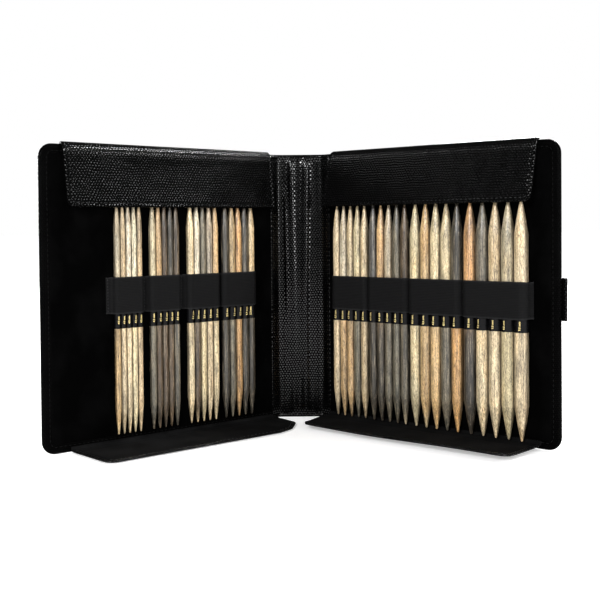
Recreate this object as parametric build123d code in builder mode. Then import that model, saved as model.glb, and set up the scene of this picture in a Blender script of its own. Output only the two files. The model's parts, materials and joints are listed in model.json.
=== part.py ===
from build123d import *
from math import sin, cos, radians
import os

# A book-style needle case standing open in a V, with forty double-pointed
# needles held in elastic loops on its two covers.
#
# Frame: millimetres, +Z up, the table at z = 0, the inside of the spine at
# y = 0 and the case opening towards -Y. A place on a cover is given by
#   s  distance from its hinge line towards the fore-edge
#   n  distance in front of its inside face (negative is behind it)
#   z  height above the table

os.makedirs("parts", exist_ok=True)

LEFT, RIGHT = -1, 1
side_names = {LEFT: "left", RIGHT: "right"}

# ---------------------------------------------------------- shared dimensions
case_height = 194.0
cover_width = 187.5          # hinge line to fore-edge
splay = radians(40.0)        # each cover's angle from the X axis
spine_width = 32.0           # hinge line to hinge line
cover_thickness = 3.8
fit_gap = 0.05               # glue line between sewn layers
flap_thickness = 1.6

needle_gap = 0.12            # daylight between neighbouring needles
needle_lift = 0.35           # cover's inside face to needle
needles_per_size = 5
# (needle diameter, s of the middle of its group)
needle_groups = {
    LEFT: ((4.0, 127.8), (4.5, 100.45), (5.0, 69.7), (5.5, 39.7)),
    RIGHT: ((6.0, 29.15), (6.5, 62.4), (8.0, 101.05), (9.0, 145.65)),
}


# --------------------------------------------------------------- cover frames
def hinge(side, z=0.0):
    return (side * spine_width / 2, 0.0, z)


def along(side):
    """Unit vector of a cover's local +X: away from the spine on the right cover."""
    return (cos(splay), -side * sin(splay), 0.0)


def normal(side):
    """Unit vector out of a cover's inside face."""
    return (-side * sin(splay), -cos(splay), 0.0)


def cover_plane(side, n=0.0):
    """Elevation plane of a cover: X across, Y up, Z out of the inside face."""
    return Plane(origin=hinge(side), x_dir=along(side), z_dir=normal(side)).offset(n)


def plan_plane(side, z):
    """Plan plane of a cover: X across, Y towards the cover's back."""
    return Plane(origin=hinge(side, z), x_dir=along(side), z_dir=(0, 0, 1))


def cover_point(side, s, n, z):
    origin, across, out = hinge(side), along(side), normal(side)
    x, y = (origin[i] + across[i] * side * s + out[i] * n for i in range(2))
    return (x, y, z)


def outer(side):
    """Index of the fore-edge end when sorted along a cover's local X."""
    return -1 if side == RIGHT else 0


def save(builder, name):
    part = builder.part
    part.label = name
    export_step(part, f"parts/{name}.step")


# --------------------------------------------------------------------- covers
hem_width = 6.0              # leather turned in over the lining
hinge_gap = 3.5              # left free beside each hinge line
pocket_margin = 1.5          # leather beside the lining at the hinge end
corner_radius = 9.0
pocket_corner_radius = corner_radius - 4.0
back_edge_radius = 0.8
front_edge_radius = 0.6
lining_thickness = 0.8
lining_clearance = 0.02      # behind the lining
board_thickness = 1.9
skin_thickness = 1.0

# (start s, end s, height, fore-edge corner radius)
skin_panel = (hinge_gap, cover_width, case_height, corner_radius)
pocket_panel = (hinge_gap + pocket_margin, cover_width - hem_width,
                case_height - 2 * hem_width, pocket_corner_radius)


def draw_panel(sketch, side, panel, inset=0.0):
    """Rectangle with rounded fore-edge corners, shrunk by inset all round."""
    start, end, height, radius = panel
    with Locations((side * (start + end) / 2, case_height / 2)):
        Rectangle(end - start - 2 * inset, height - 2 * inset)
    fillet(sketch.vertices().group_by(Axis.X)[outer(side)], radius - inset)


def cover_skin(side):
    """Leather skin: a shallow tray with a turned-in hem, hollow for the board."""
    board_room = board_thickness + 2 * fit_gap
    out_axis = Axis(hinge(side), normal(side))
    with BuildPart() as skin:
        with BuildSketch(cover_plane(side, -cover_thickness)) as outline:
            draw_panel(outline, side, skin_panel)
        extrude(amount=cover_thickness)
        for index, radius in ((0, back_edge_radius), (-1, front_edge_radius)):
            face = skin.faces().filter_by(cover_plane(side)).sort_by(out_axis)[index]
            fillet(face.edges(), radius)
        with BuildSketch(cover_plane(side, -lining_thickness)) as pocket:
            draw_panel(pocket, side, pocket_panel)
        extrude(amount=lining_thickness, mode=Mode.SUBTRACT)
        with BuildSketch(cover_plane(side, -lining_thickness - board_room)) as hollow:
            draw_panel(hollow, side, skin_panel, inset=skin_thickness)
        extrude(amount=board_room, mode=Mode.SUBTRACT)
    return skin


def cover_board(side):
    """Stiffener board filling the hollow of the skin."""
    back = -lining_thickness - board_thickness - fit_gap
    with BuildPart() as board:
        with BuildSketch(cover_plane(side, back)) as outline:
            draw_panel(outline, side, skin_panel, inset=skin_thickness + fit_gap)
        extrude(amount=board_thickness)
    return board


def cover_lining(side):
    """Suede-like lining set inside the hem."""
    thickness = lining_thickness - lining_clearance
    with BuildPart() as lining:
        with BuildSketch(cover_plane(side, -thickness)) as outline:
            draw_panel(outline, side, pocket_panel, inset=fit_gap)
        extrude(amount=thickness)
    return lining


for side, side_name in side_names.items():
    save(cover_skin(side), f"{side_name}_outer_leather")
    save(cover_board(side), f"{side_name}_board")
    save(cover_lining(side), f"{side_name}_lining")

# ---------------------------------------------------------------------- spine
spine_half = spine_width / 2 - 3.0
spine_height = case_height - 0.4
spine_bow = 0.4              # rise of the bowed faces towards the back
outer_front_y = 1.9          # y at the strip's long edges
outer_back_y = 3.5
inner_back_y = 1.4

# (x, y) across the front of the inner leather, with its two soft ridges
ridge_points = (
    (-spine_half, 0.0), (-8.6, -0.5), (-5.2, -1.9), (-1.6, -0.7),
    (1.6, -0.9), (4.8, -1.9), (8.6, -0.5), (spine_half, 0.0),
)


def bow_points(y):
    """Three points of a bowed face, from -X to +X."""
    return (-spine_half, y), (0, y + spine_bow), (spine_half, y)


def outer_spine():
    """Outer leather of the spine: a slightly bowed strip."""
    with BuildPart() as strip:
        with BuildSketch(Plane.XY):
            with BuildLine():
                ThreePointArc(*bow_points(outer_front_y))
                Line((spine_half, outer_front_y), (spine_half, outer_back_y))
                ThreePointArc(*reversed(bow_points(outer_back_y)))
                Line((-spine_half, outer_back_y), (-spine_half, outer_front_y))
            make_face()
        extrude(amount=spine_height)
    return strip


def inner_spine():
    """Inner leather of the spine: the ridges run its full height."""
    with BuildPart() as strip:
        with BuildSketch(Plane.XY):
            with BuildLine():
                Spline(*ridge_points)
                Line((spine_half, 0.0), (spine_half, inner_back_y))
                ThreePointArc(*reversed(bow_points(inner_back_y)))
                Line((-spine_half, inner_back_y), (-spine_half, 0.0))
            make_face()
        extrude(amount=spine_height)
    return strip


save(outer_spine(), "spine_outer_leather")
save(inner_spine(), "spine_inner_leather")

# ------------------------------------------------------------------- elastics
elastic_thickness = 0.8
elastic_height = 24.0
loop_side_gap = 0.25         # needle group to the loop's inside, each end
loop_top_gap = 0.35          # needles to the loop's inside

# (start s, end s, lower edge z)
elastic_places = {LEFT: (21.6, 143.2, 85.3), RIGHT: (9.6, 170.2, 81.3)}


def group_edges(size, middle):
    """Least and greatest s of a group of needles."""
    half = (needles_per_size * size + (needles_per_size - 1) * needle_gap) / 2
    return middle - half, middle + half


def elastic(side, start, end, z):
    """One ribbon: arched over each group of needles, sewn flat between them."""
    loops = []               # (size, local x, inside width, inside height)
    for size, middle in needle_groups[side]:
        low, high = group_edges(size, middle)
        loops.append((size, side * middle, high - low + 2 * loop_side_gap,
                      needle_lift + size + loop_top_gap))
    with BuildPart() as ribbon:
        with BuildSketch(plan_plane(side, z)):
            with Locations((side * (start + end) / 2, -fit_gap - elastic_thickness / 2)):
                Rectangle(end - start, elastic_thickness)
            for size, x, width, crown in loops:
                depth = crown + elastic_thickness - fit_gap
                with Locations((x, -fit_gap - depth / 2)):
                    RectangleRounded(width + 2 * elastic_thickness, depth,
                                     min(size * 0.45, 2.6))
            for size, x, width, crown in loops:
                with Locations((x, -crown / 2)):
                    RectangleRounded(width, crown, min(size * 0.4, 2.2),
                                     mode=Mode.SUBTRACT)
        extrude(amount=elastic_height)
    return ribbon


for side, place in elastic_places.items():
    save(elastic(side, *place), f"{side_names[side]}_elastic")

# ------------------------------------------------------------------ top flaps
top_hinge_n = 1.0
top_hinge_z = 192.5
top_hinge_gap = 1.3          # hinge to the flap's upper edge
top_flap_length = 38.8       # hinge to the flap's lower edge
top_flap_taper = 1.5         # the lower edge is shorter by this at its outer end
top_outer_radius = 5.0
top_inner_radius = 1.2

# (start s, end s, degrees from the vertical)
top_flap_places = {LEFT: (9.5, 173.5, 9.8), RIGHT: (10.5, 174.0, 14.9)}


def top_flap(side, start, end, tilt):
    """Flap folded down in front of the needle points, leaning away from the cover."""
    lean = radians(tilt)
    out = normal(side)
    flap_plane = Plane(origin=cover_point(side, 0.0, top_hinge_n, top_hinge_z),
                       x_dir=along(side),
                       z_dir=(out[0] * cos(lean), out[1] * cos(lean), sin(lean)))
    with BuildPart() as flap:
        with BuildSketch(flap_plane) as outline:
            with BuildLine():
                Polyline((side * start, -top_hinge_gap),
                         (side * end, -top_hinge_gap),
                         (side * (end - top_flap_taper), -top_flap_length),
                         (side * start, -top_flap_length), close=True)
            make_face()
            for index, radius in ((outer(side), top_outer_radius),
                                  (-1 - outer(side), top_inner_radius)):
                lower = outline.vertices().group_by(Axis.Y)[0].sort_by(Axis.X)
                fillet(lower[index], radius)
        extrude(amount=flap_thickness / 2, both=True)
    return flap


for side, place in top_flap_places.items():
    save(top_flap(side, *place), f"{side_names[side]}_top_flap")

# --------------------------------------------------------------- bottom flaps
bottom_hinge_n = 1.0
bottom_hinge_gap = 0.4       # hinge to the base strip
bottom_fold_gap = 1.2        # left free each side of the second fold
bottom_corner_radius = 7.0

left_bottom_reach = 44.6     # n of the front edge
right_bottom_reach = 45.0

# (mid-height z, n of the second fold, (start s, end s) of the base strip,
#  (s, n) points of the flap between its two ends at the fold);
# the right flap rides just above the left one
bottom_flap_places = {
    LEFT: (0.85, 9.0, (6.0, 168.5),
           ((7.5, 27.0), (22.0, 40.0),
            (34.0, left_bottom_reach), (166.0, left_bottom_reach))),
    RIGHT: (2.85, 12.5, (7.0, 174.5),
            ((14.0, 38.0), (19.0, 43.0),
             (27.0, right_bottom_reach), (173.0, right_bottom_reach))),
}


def bottom_base(side, level, fold_n, span):
    """Level strip between the cover's foot and the second fold."""
    start, end = span
    near, far = bottom_hinge_n + bottom_hinge_gap, fold_n - bottom_fold_gap
    with BuildPart() as base:
        with BuildSketch(plan_plane(side, level)):
            with Locations((side * (start + end) / 2, -(near + far) / 2)):
                Rectangle(end - start, far - near)
        extrude(amount=flap_thickness / 2, both=True)
    return base


def bottom_flap(side, level, fold_n, span, free_points):
    """Open flap lying towards the front, cut back so the pair clear the middle."""
    near = fold_n + bottom_fold_gap
    points = [(span[0], near), *free_points, (span[1], near)]
    with BuildPart() as flap:
        with BuildSketch(plan_plane(side, level)) as outline:
            with BuildLine():
                Polyline(*[(side * s, -n) for s, n in points], close=True)
            make_face()
            front = outline.vertices().group_by(Axis.Y)[0].sort_by(Axis.X)
            fillet(front[outer(side)], bottom_corner_radius)
        extrude(amount=flap_thickness / 2, both=True)
    return flap


for side, (level, fold_n, span, free_points) in bottom_flap_places.items():
    name = f"{side_names[side]}_bottom_flap"
    save(bottom_base(side, level, fold_n, span), f"{name}_base")
    save(bottom_flap(side, level, fold_n, span, free_points), name)

# -------------------------------------------------------------- closing strap
strap_height = 27.0
strap_mid_z = 94.3
strap_low_z = strap_mid_z - strap_height / 2
strap_thickness = 1.5
strap_hinge_s = 189.3
strap_hinge_n = -4.65
strap_bridge_length = 42.4   # hinge to second fold
strap_tip_length = 30.0      # second fold to free end
strap_fold_gap = 1.5         # left free beside the hinge and each side of the fold
strap_end_radius = 12.0
strap_turn = radians(180.0 + 30.0)   # folded back, 30 degrees off the cover's back

snap_s = 170.0
snap_from_fold = strap_hinge_s - snap_s
snap_hole_radius = 3.4


def strap_plane(length, z):
    """Plan plane at a length along the strap: X along it, Y towards the cover's back."""
    across, out = along(RIGHT), normal(RIGHT)
    x, y = (across[i] * cos(strap_turn) + out[i] * sin(strap_turn) for i in range(2))
    start = cover_point(RIGHT, strap_hinge_s, strap_hinge_n, z)
    return Plane(origin=(start[0] + x * length, start[1] + y * length, z),
                 x_dir=(x, y, 0.0), z_dir=(0, 0, 1))


tip_plane = strap_plane(strap_bridge_length, strap_mid_z)
# Centred on the snap, in the middle of the strap's thickness. Its Z points at
# the right cover's back, out of the face left outside once the strap is wrapped
# round the case.
snap_plane = Plane(origin=tip_plane.from_local_coords((snap_from_fold, 0, 0)),
                   x_dir=tip_plane.x_dir, z_dir=tip_plane.y_dir)


def bridge():
    """Length of strap between its hinge and its second fold."""
    with BuildPart() as strip:
        with BuildSketch(strap_plane(0.0, strap_low_z)):
            with Locations((strap_bridge_length / 2, 0)):
                Rectangle(strap_bridge_length - 2 * strap_fold_gap, strap_thickness)
        extrude(amount=strap_height)
    return strip


def tip():
    """Free end of the strap, with rounded corners and a hole for the snap."""
    with BuildPart() as strip:
        with BuildSketch(strap_plane(strap_bridge_length, strap_low_z)):
            with Locations(((strap_fold_gap + strap_tip_length) / 2, 0)):
                Rectangle(strap_tip_length - strap_fold_gap, strap_thickness)
        extrude(amount=strap_height)
        end = strip.faces().sort_by(Axis(tip_plane.origin, tip_plane.x_dir))[-1]
        level_edges = end.edges().filter_by(lambda edge: abs((edge @ 0 - edge @ 1).Z) < 0.01)
        fillet(level_edges, strap_end_radius)
        with BuildSketch(snap_plane):
            Circle(snap_hole_radius)
        extrude(amount=strap_thickness, both=True, mode=Mode.SUBTRACT)
    return strip


save(bridge(), "strap_bridge")
save(tip(), "strap_tip")

# ---------------------------------------------------------------- press stud
cap_radius = 6.2
cap_thickness = 1.3
cap_edge_radius = 0.9
socket_outer_radius = 3.3
socket_bore_radius = 2.3
socket_overlap = 0.2         # socket wall running into the cap
socket_bore_depth = strap_thickness + 0.3

stud_base_radius = 5.2
stud_base_thickness = 0.8
stud_post_radius = 1.9
stud_post_length = 1.5
stud_post_edge_radius = 0.5


def cap():
    """Cap half, through the strap: domed on one face, its socket open on the other."""
    with BuildPart() as snap:
        with BuildSketch(snap_plane.offset(strap_thickness / 2 + fit_gap)):
            Circle(cap_radius)
        extrude(amount=cap_thickness)
        top = snap.faces().sort_by(Axis(snap_plane.origin, snap_plane.z_dir))[-1]
        fillet(top.edges(), cap_edge_radius)
        with BuildSketch(snap_plane.offset(-strap_thickness / 2)):
            Circle(socket_outer_radius)
        extrude(amount=strap_thickness + fit_gap + socket_overlap)
        with BuildSketch(snap_plane.offset(-strap_thickness / 2)):
            Circle(socket_bore_radius)
        extrude(amount=socket_bore_depth, mode=Mode.SUBTRACT)
    return snap


def stud():
    """Stud half, on the outside of the left cover."""
    base_plane = Plane(
        origin=cover_point(LEFT, snap_s, -cover_thickness - fit_gap, strap_mid_z),
        x_dir=(0, 0, 1), z_dir=tuple(-value for value in normal(LEFT)))
    with BuildPart() as snap:
        with BuildSketch(base_plane):
            Circle(stud_base_radius)
        extrude(amount=stud_base_thickness)
        with BuildSketch(base_plane.offset(stud_base_thickness)):
            Circle(stud_post_radius)
        extrude(amount=stud_post_length)
        top = snap.faces().sort_by(Axis(base_plane.origin, base_plane.z_dir))[-1]
        fillet(top.edges(), stud_post_edge_radius)
    return snap


save(cap(), "snap_cap")
save(stud(), "snap_stud")

# -------------------------------------------------------------------- needles
needle_length = 152.4        # six inches
needle_foot_z = {LEFT: 7.0, RIGHT: 4.5}      # height of the lower points


def needle(side, size, s, z):
    """Turned stick with a long rounded point at both ends."""
    radius = size / 2
    taper = 13.5 + 1.0 * size                # length of each point
    tip_radius = 0.35 + 0.055 * size
    bulge = 0.05 * radius                    # swell at the middle of the taper
    tip_x = tip_radius * sin(radians(45))    # middle of the tip's arc
    tip_y = tip_radius - tip_x
    taper_x, taper_y = (tip_radius + radius) / 2 + bulge, (tip_radius + taper) / 2
    profile_plane = Plane(origin=cover_point(side, s, needle_lift + radius, z),
                          x_dir=along(side), z_dir=normal(side))
    with BuildPart() as stick:
        with BuildSketch(profile_plane):
            with BuildLine():
                ThreePointArc((0, 0), (tip_x, tip_y), (tip_radius, tip_radius))
                ThreePointArc((tip_radius, tip_radius), (taper_x, taper_y), (radius, taper))
                Line((radius, taper), (radius, needle_length - taper))
                ThreePointArc((radius, needle_length - taper),
                              (taper_x, needle_length - taper_y),
                              (tip_radius, needle_length - tip_radius))
                ThreePointArc((tip_radius, needle_length - tip_radius),
                              (tip_x, needle_length - tip_y), (0, needle_length))
                Line((0, needle_length), (0, 0))
            make_face()
        revolve(axis=Axis(profile_plane.origin, (0, 0, 1)))
    return stick


for side, groups in needle_groups.items():
    for size, middle in groups:
        low, high = group_edges(size, middle)
        size_name = str(size).replace(".", "_")
        for i in range(needles_per_size):
            # number one is nearest the fore-edge on the left, the spine on the right
            step = size / 2 + i * (size + needle_gap)
            s = high - step if side == LEFT else low + step
            save(needle(side, size, s, needle_foot_z[side]), f"needle_{size_name}mm_{i + 1}")
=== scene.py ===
"""An open folding case of wooden double-pointed needles.

The case stands like an open book, with its foot on the floor (z = 0) and its spine at the
origin. The front, where the inside is seen, faces -Y, and the covers swing forward to the left
(-X) and the right (+X). Each cover has a lining, an elastic ribbon over four groups of needles,
a top flap hanging down and a bottom flap folded out level. A strap is folded behind the right
cover. Lengths are in mm, and become metres when a mesh is made.
"""
import bpy
import bmesh
import functools
import json
import math
import numpy as np
from mathutils import Matrix, Vector
from types import SimpleNamespace

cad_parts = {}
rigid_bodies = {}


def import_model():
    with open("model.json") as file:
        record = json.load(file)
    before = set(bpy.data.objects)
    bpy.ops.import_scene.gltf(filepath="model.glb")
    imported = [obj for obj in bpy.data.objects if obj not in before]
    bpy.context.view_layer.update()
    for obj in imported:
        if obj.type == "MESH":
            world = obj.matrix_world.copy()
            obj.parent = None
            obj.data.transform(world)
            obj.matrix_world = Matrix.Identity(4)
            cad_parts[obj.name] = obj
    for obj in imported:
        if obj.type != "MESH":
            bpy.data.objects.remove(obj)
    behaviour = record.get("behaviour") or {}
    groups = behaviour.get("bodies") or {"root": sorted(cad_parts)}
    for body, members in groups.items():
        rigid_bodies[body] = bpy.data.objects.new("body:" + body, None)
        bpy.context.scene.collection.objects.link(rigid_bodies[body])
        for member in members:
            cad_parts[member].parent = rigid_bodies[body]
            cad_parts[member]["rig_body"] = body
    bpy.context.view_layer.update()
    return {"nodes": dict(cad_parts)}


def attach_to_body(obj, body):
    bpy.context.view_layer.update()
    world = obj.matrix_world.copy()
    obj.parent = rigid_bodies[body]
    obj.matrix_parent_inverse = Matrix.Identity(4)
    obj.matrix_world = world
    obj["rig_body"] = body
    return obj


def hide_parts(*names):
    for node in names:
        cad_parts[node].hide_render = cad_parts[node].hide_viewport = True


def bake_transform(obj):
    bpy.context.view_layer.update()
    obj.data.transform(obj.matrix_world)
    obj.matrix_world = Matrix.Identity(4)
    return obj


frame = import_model()
rng = np.random.default_rng(7)

# ------------------------------------------------------------------ driving sizes
MM = 0.001
LEFT, RIGHT = -1, 1
SIDES = (LEFT, RIGHT)
NAME = {LEFT: "left", RIGHT: "right"}
OPEN_ANGLE = math.radians(40.0)         # how far each cover swings forward
HALF_SPINE = 16.0
COVER_WIDTH, COVER_HEIGHT = 187.5, 194.0
COVER_BACK = 3.9                        # outer leather behind the inside face
COVER_THICK, HINGE_THICK = 3.75, 1.1
HEM = 5.95                              # width of leather turned in round the lining
SPINE_HEIGHT = 193.3
SPINE_INSIDE_HALF = 12.5

NEEDLE_LENGTH = 152.4
NEEDLE_GAP = 0.12
NEEDLE_REST = 0.35                      # clearance between the needles and the inside face
NEEDLE_FOOT = {LEFT: 7.0, RIGHT: 4.5}
PRINT_HEIGHT = {LEFT: 74.3, RIGHT: 73.0}
BAND_HALF = 7.35                        # half the height of the black band
BAND_STEP = 0.035                       # thickness of its lacquer
STICK_SEGMENTS = 28

# Per group: needle diameter, middle of the group along the cover, wood slot, and the tones of
# its five needles from left to right (upper half, lower half, lower point; see TONES).
NEEDLES = {
    LEFT: (
        (4.0, 127.8, "wood_cream", ("LTC", "BCC", "WCB", "WCC", "BBC")),
        (4.5, 100.45, "wood_grey", ("CGN", "TNN", "NND", "DNN", "NGD")),
        (5.0, 69.7, "wood_cream", ("CCC", "WNB", "GCC", "LCB", "TCC")),
        (5.5, 39.7, "wood_grey", ("DDD", "TGG", "OOT", "DDG", "BDD")),
    ),
    RIGHT: (
        (6.0, 29.15, "wood_cream", ("CCN", "WTT", "CTN", "CGD", "CBD")),
        (6.5, 62.4, "wood_grey", ("SDD", "TDD", "LGD", "GGN", "NGC")),
        (8.0, 101.05, "wood_tan", ("CCC", "TTC", "CTT", "CGG", "DOO")),
        (9.0, 145.65, "wood_tan", ("ODD", "GCB", "BCC", "LCG", "CCT")),
    ),
}

RIBBON_HEIGHT = 24.0
RIBBON_OFFSET = 0.42                    # mid-line of the ribbon above what it lies on
RIB_PITCH = 1.05
RIBBON_FOOT = {LEFT: 85.3, RIGHT: 81.3}
RIBBON_SPAN = {LEFT: (21.6, 143.2), RIGHT: (9.6, 170.2)}

# Top flaps: lean from the cover, ends of the free part, ends along the cover's top edge.
TOP_FLAPS = {
    LEFT: SimpleNamespace(tilt=math.radians(9.8), ends=(8.6, 173.8), top_ends=(9.6, 173.2)),
    RIGHT: SimpleNamespace(tilt=math.radians(14.9), ends=(9.4, 174.2), top_ends=(11.4, 173.2)),
}
TOP_FLAP_LENGTH = 38.8

# Bottom flaps: height, fold line and join line (both out from the cover), outline as
# (along, out) with a radius per corner, then how much the sheet curls, waves and rolls.
BOTTOM_FLAPS = {
    LEFT: SimpleNamespace(
        level=0.85, fold=9.0, join=5.2, curl=0.12, wave=0.06, roll=0.22,
        corners=((5.6, 5.2), (168.9, 5.2), (166.6, 45.0), (35.0, 45.0), (21.0, 40.4), (7.2, 27.2)),
        radii=(0, 0, 7.0, 8.0, 8.0, 5.0)),
    RIGHT: SimpleNamespace(
        level=2.85, fold=12.5, join=7.0, curl=1.5, wave=0.20, roll=0.45,
        corners=((6.6, 7.0), (175.0, 7.0), (173.4, 45.4), (27.0, 45.4), (18.2, 43.2), (13.2, 37.6)),
        radii=(0, 0, 8.0, 8.0, 4.0, 3.0)),
}

# Stitches: length, pitch, thread radius.
STITCH = {
    "cover": (2.2, 3.2, 0.20),
    "spine": (2.0, 3.0, 0.20),
    "hinge": (2.2, 3.2, 0.19),
    "top_flap": (2.3, 3.2, 0.24),
    "bottom_flap": (2.3, 3.2, 0.22),
    "elastic": (1.5, 2.0, 0.16),
    "strap": (2.2, 3.1, 0.22),
}

# Distances from an edge at which a sheet has grid lines: close together over the rolled hem.
FINE = [0, 0.12, 0.3, 0.55, 0.85, 1.2, 1.6, 2.0, 2.4, 2.7, 3.0, 3.3, 3.6, 4.0, 4.6, 5.4, 6.4, 8.0,
        10.5]


# ------------------------------------------------------------- cover coordinates
def cover_xyz(side, along, out, z):
    """Along a cover from its hinge, out of its inside face, and up, as x, y, z in mm."""
    along, out, z = np.broadcast_arrays(*(np.asarray(v, float) for v in (along, out, z)))
    x = side * (HALF_SPINE + math.cos(OPEN_ANGLE) * along - math.sin(OPEN_ANGLE) * out)
    y = -math.sin(OPEN_ANGLE) * along - math.cos(OPEN_ANGLE) * out
    return np.stack([x, y, z], -1)


def cover_direction(side, along, out, z=0.0):
    return cover_xyz(side, along, out, z) - cover_xyz(side, 0, 0, 0)


# -------------------------------------------------------------- curves and grids
def unit(value):
    return np.clip(value, 0, 1)


def smoothstep(value):
    value = unit(value)
    return value * value * (3 - 2 * value)


def rounding(distance, radius):
    """Quarter-circle profile: 0 at an edge, 1 from one radius inwards."""
    return np.sqrt(unit(1 - (1 - unit(distance / radius)) ** 2))


def bell(value, centre, width):
    return np.exp(-((value - centre) / width) ** 2)


def path_lengths(path):
    """Distance along the path at each of its points."""
    steps = np.linalg.norm(np.diff(path, axis=0), axis=1)
    return np.concatenate([[0], np.cumsum(steps)])


def path_normals(path):
    """Unit normals of a plane path, to the left of its direction."""
    tangents = np.gradient(path, axis=0)
    tangents /= np.linalg.norm(tangents, axis=1)[:, None]
    return np.stack([-tangents[:, 1], tangents[:, 0]], -1)


def offset(points, normals, amount):
    return points + normals * amount[..., None]


def interpolate(at, lengths, table):
    return np.stack([np.interp(at, lengths, column) for column in table.T], -1)


def resample(points, fractions):
    points = np.asarray(points, float)
    lengths = path_lengths(points)
    return interpolate(np.asarray(fractions) * lengths[-1], lengths, points)


def resample_evenly(points, count):
    return resample(points, np.linspace(0, 1, count))


def smooth_path(points, step, rounds=2):
    """Cut the corners of a polyline, then sample it evenly."""
    path = np.asarray(points, float)
    for _ in range(rounds):
        cut = np.empty((2 * len(path) - 2, path.shape[1]))
        cut[0::2] = path[:-1] * 0.75 + path[1:] * 0.25
        cut[1::2] = path[:-1] * 0.25 + path[1:] * 0.75
        path = np.concatenate([path[:1], cut, path[-1:]])
    length = path_lengths(path)[-1]
    return resample_evenly(path, max(4, int(round(length / step)) + 1))


def symmetric(ends, middle, total):
    """Stations at both ends of a length, mirrored, with the middle ones between them."""
    ends = np.asarray(ends, float)
    return np.concatenate([ends, middle, total - ends[::-1]])


def spacing(length, fine, coarse):
    """Fractions of a length: close together near both ends."""
    near = [value for value in fine if value < length / 2 - coarse * 0.5]
    count = max(2, int((length - 2 * near[-1]) / coarse) + 1)
    middle = np.linspace(near[-1], length - near[-1], count)
    return symmetric(near[:-1], middle, length) / length


def rounded_outline(corners, radii, arc=10):
    """Outline with rounded corners, and the index of the middle of each corner."""
    points, middles = [], []
    for i, radius in enumerate(radii):
        corner, before, after = (np.asarray(corners[j % len(corners)], float)
                                 for j in (i, i - 1, i + 1))
        if radius == 0:
            middles.append(len(points))
            points.append(corner)
            continue
        back = (before - corner) / np.linalg.norm(before - corner)
        ahead = (after - corner) / np.linalg.norm(after - corner)
        half = math.acos(np.clip(back @ ahead, -1, 1)) / 2
        inwards = (back + ahead) / np.linalg.norm(back + ahead)
        centre = corner + inwards * radius / math.sin(half)
        cut = radius / math.tan(half)
        start, end = corner + back * cut - centre, corner + ahead * cut - centre
        start_angle = math.atan2(start[1], start[0])
        end_angle = math.atan2(end[1], end[0])
        turn = (end_angle - start_angle + math.pi) % (2 * math.pi) - math.pi
        middles.append(len(points) + arc // 2)
        for k in range(arc + 1):
            angle = start_angle + turn * k / arc
            points.append(centre + radius * np.array([math.cos(angle), math.sin(angle)]))
    return np.array(points), middles


def outline_grid(corners, radii, grid_corners, fine=FINE, coarse=3.0):
    """Grid filling a rounded outline, and the closed outline itself.

    grid_corners are the outline corners that become the grid's own, in the order
    low-low, high-low, high-high, low-high."""
    points, middles = rounded_outline(corners, radii)
    first, second, third, fourth = (middles[i] for i in grid_corners)

    def run(i, j):
        return points[i:j + 1] if j > i else np.concatenate([points[i:], points[:j + 1]])

    bottom, right = run(first, second), run(second, third)
    top, left = run(third, fourth)[::-1], run(fourth, first)[::-1]
    across = spacing(path_lengths(bottom)[-1], fine, coarse)
    up = spacing(path_lengths(left)[-1], fine, coarse)
    bottom, top = resample(bottom, across), resample(top, across)
    left, right = resample(left, up), resample(right, up)
    u, v = across[:, None, None], up[None, :, None]
    grid = ((1 - v) * bottom[:, None] + v * top[:, None]
            + (1 - u) * left[None] + u * right[None]
            - ((1 - u) * (1 - v) * bottom[0] + u * (1 - v) * bottom[-1]
               + (1 - u) * v * top[0] + u * v * top[-1]))
    return grid, np.concatenate([points, points[:1]])


def edge_distance(grid, chain):
    """Distance from every grid point to a polyline."""
    flat = grid.reshape(-1, 2)
    nearest = np.full(len(flat), 1e9)
    for start, end in zip(chain[:-1], chain[1:]):
        edge = end - start
        squared = edge @ edge
        if squared < 1e-12:
            continue
        t = unit(((flat - start) @ edge) / squared)
        nearest = np.minimum(nearest, np.linalg.norm(flat - start - t[:, None] * edge, axis=1))
    return nearest.reshape(grid.shape[:2])


def inset_path(outline, inset):
    """A closed anticlockwise outline moved inwards, for a row of stitches."""
    points = outline[:-1]

    def edge_normals(edges):
        turned = np.stack([-edges[:, 1], edges[:, 0]], -1)
        return turned / np.maximum(np.linalg.norm(edges, axis=1), 1e-9)[:, None]

    before = edge_normals(points - np.roll(points, 1, axis=0))
    after = edge_normals(np.roll(points, -1, axis=0) - points)
    normals = before + after
    normals /= np.maximum(np.linalg.norm(normals, axis=1), 1e-9)[:, None]
    mitre = np.maximum(0.4, (normals * after).sum(1))
    moved = points + normals * (inset / mitre)[:, None]
    return np.concatenate([moved, moved[:1]])


# ------------------------------------------------------------------------ meshes
def make_mesh(name, verts, faces, mats, uv=None, mat_index=None, weld=True):
    mesh = bpy.data.meshes.new(name)
    verts = np.asarray(verts, float).reshape(-1, 3) * MM
    mesh.from_pydata(verts.tolist(), [], [list(map(int, face)) for face in faces])
    if uv is not None:
        layer = mesh.uv_layers.new(name="surface_uv")
        index = np.zeros(len(mesh.loops), int)
        mesh.loops.foreach_get("vertex_index", index)
        uv = np.asarray(uv, float).reshape(-1, 2)
        layer.data.foreach_set("uv", uv[index].astype(np.float32).ravel())
    for mat in mats:
        mesh.materials.append(mat)
    if mat_index is not None:
        mesh.polygons.foreach_set("material_index", np.asarray(mat_index, np.int32))
    mesh.polygons.foreach_set("use_smooth", np.ones(len(mesh.polygons), bool))
    if weld:
        bm = bmesh.new()
        bm.from_mesh(mesh)
        bmesh.ops.remove_doubles(bm, verts=bm.verts, dist=2e-6)
        bmesh.ops.dissolve_degenerate(bm, edges=bm.edges, dist=1e-7)
        bmesh.ops.recalc_face_normals(bm, faces=bm.faces)
        bm.to_mesh(mesh)
        bm.free()
    mesh.update()
    ob = bpy.data.objects.new(name, mesh)
    bpy.context.scene.collection.objects.link(ob)
    return ob


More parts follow.
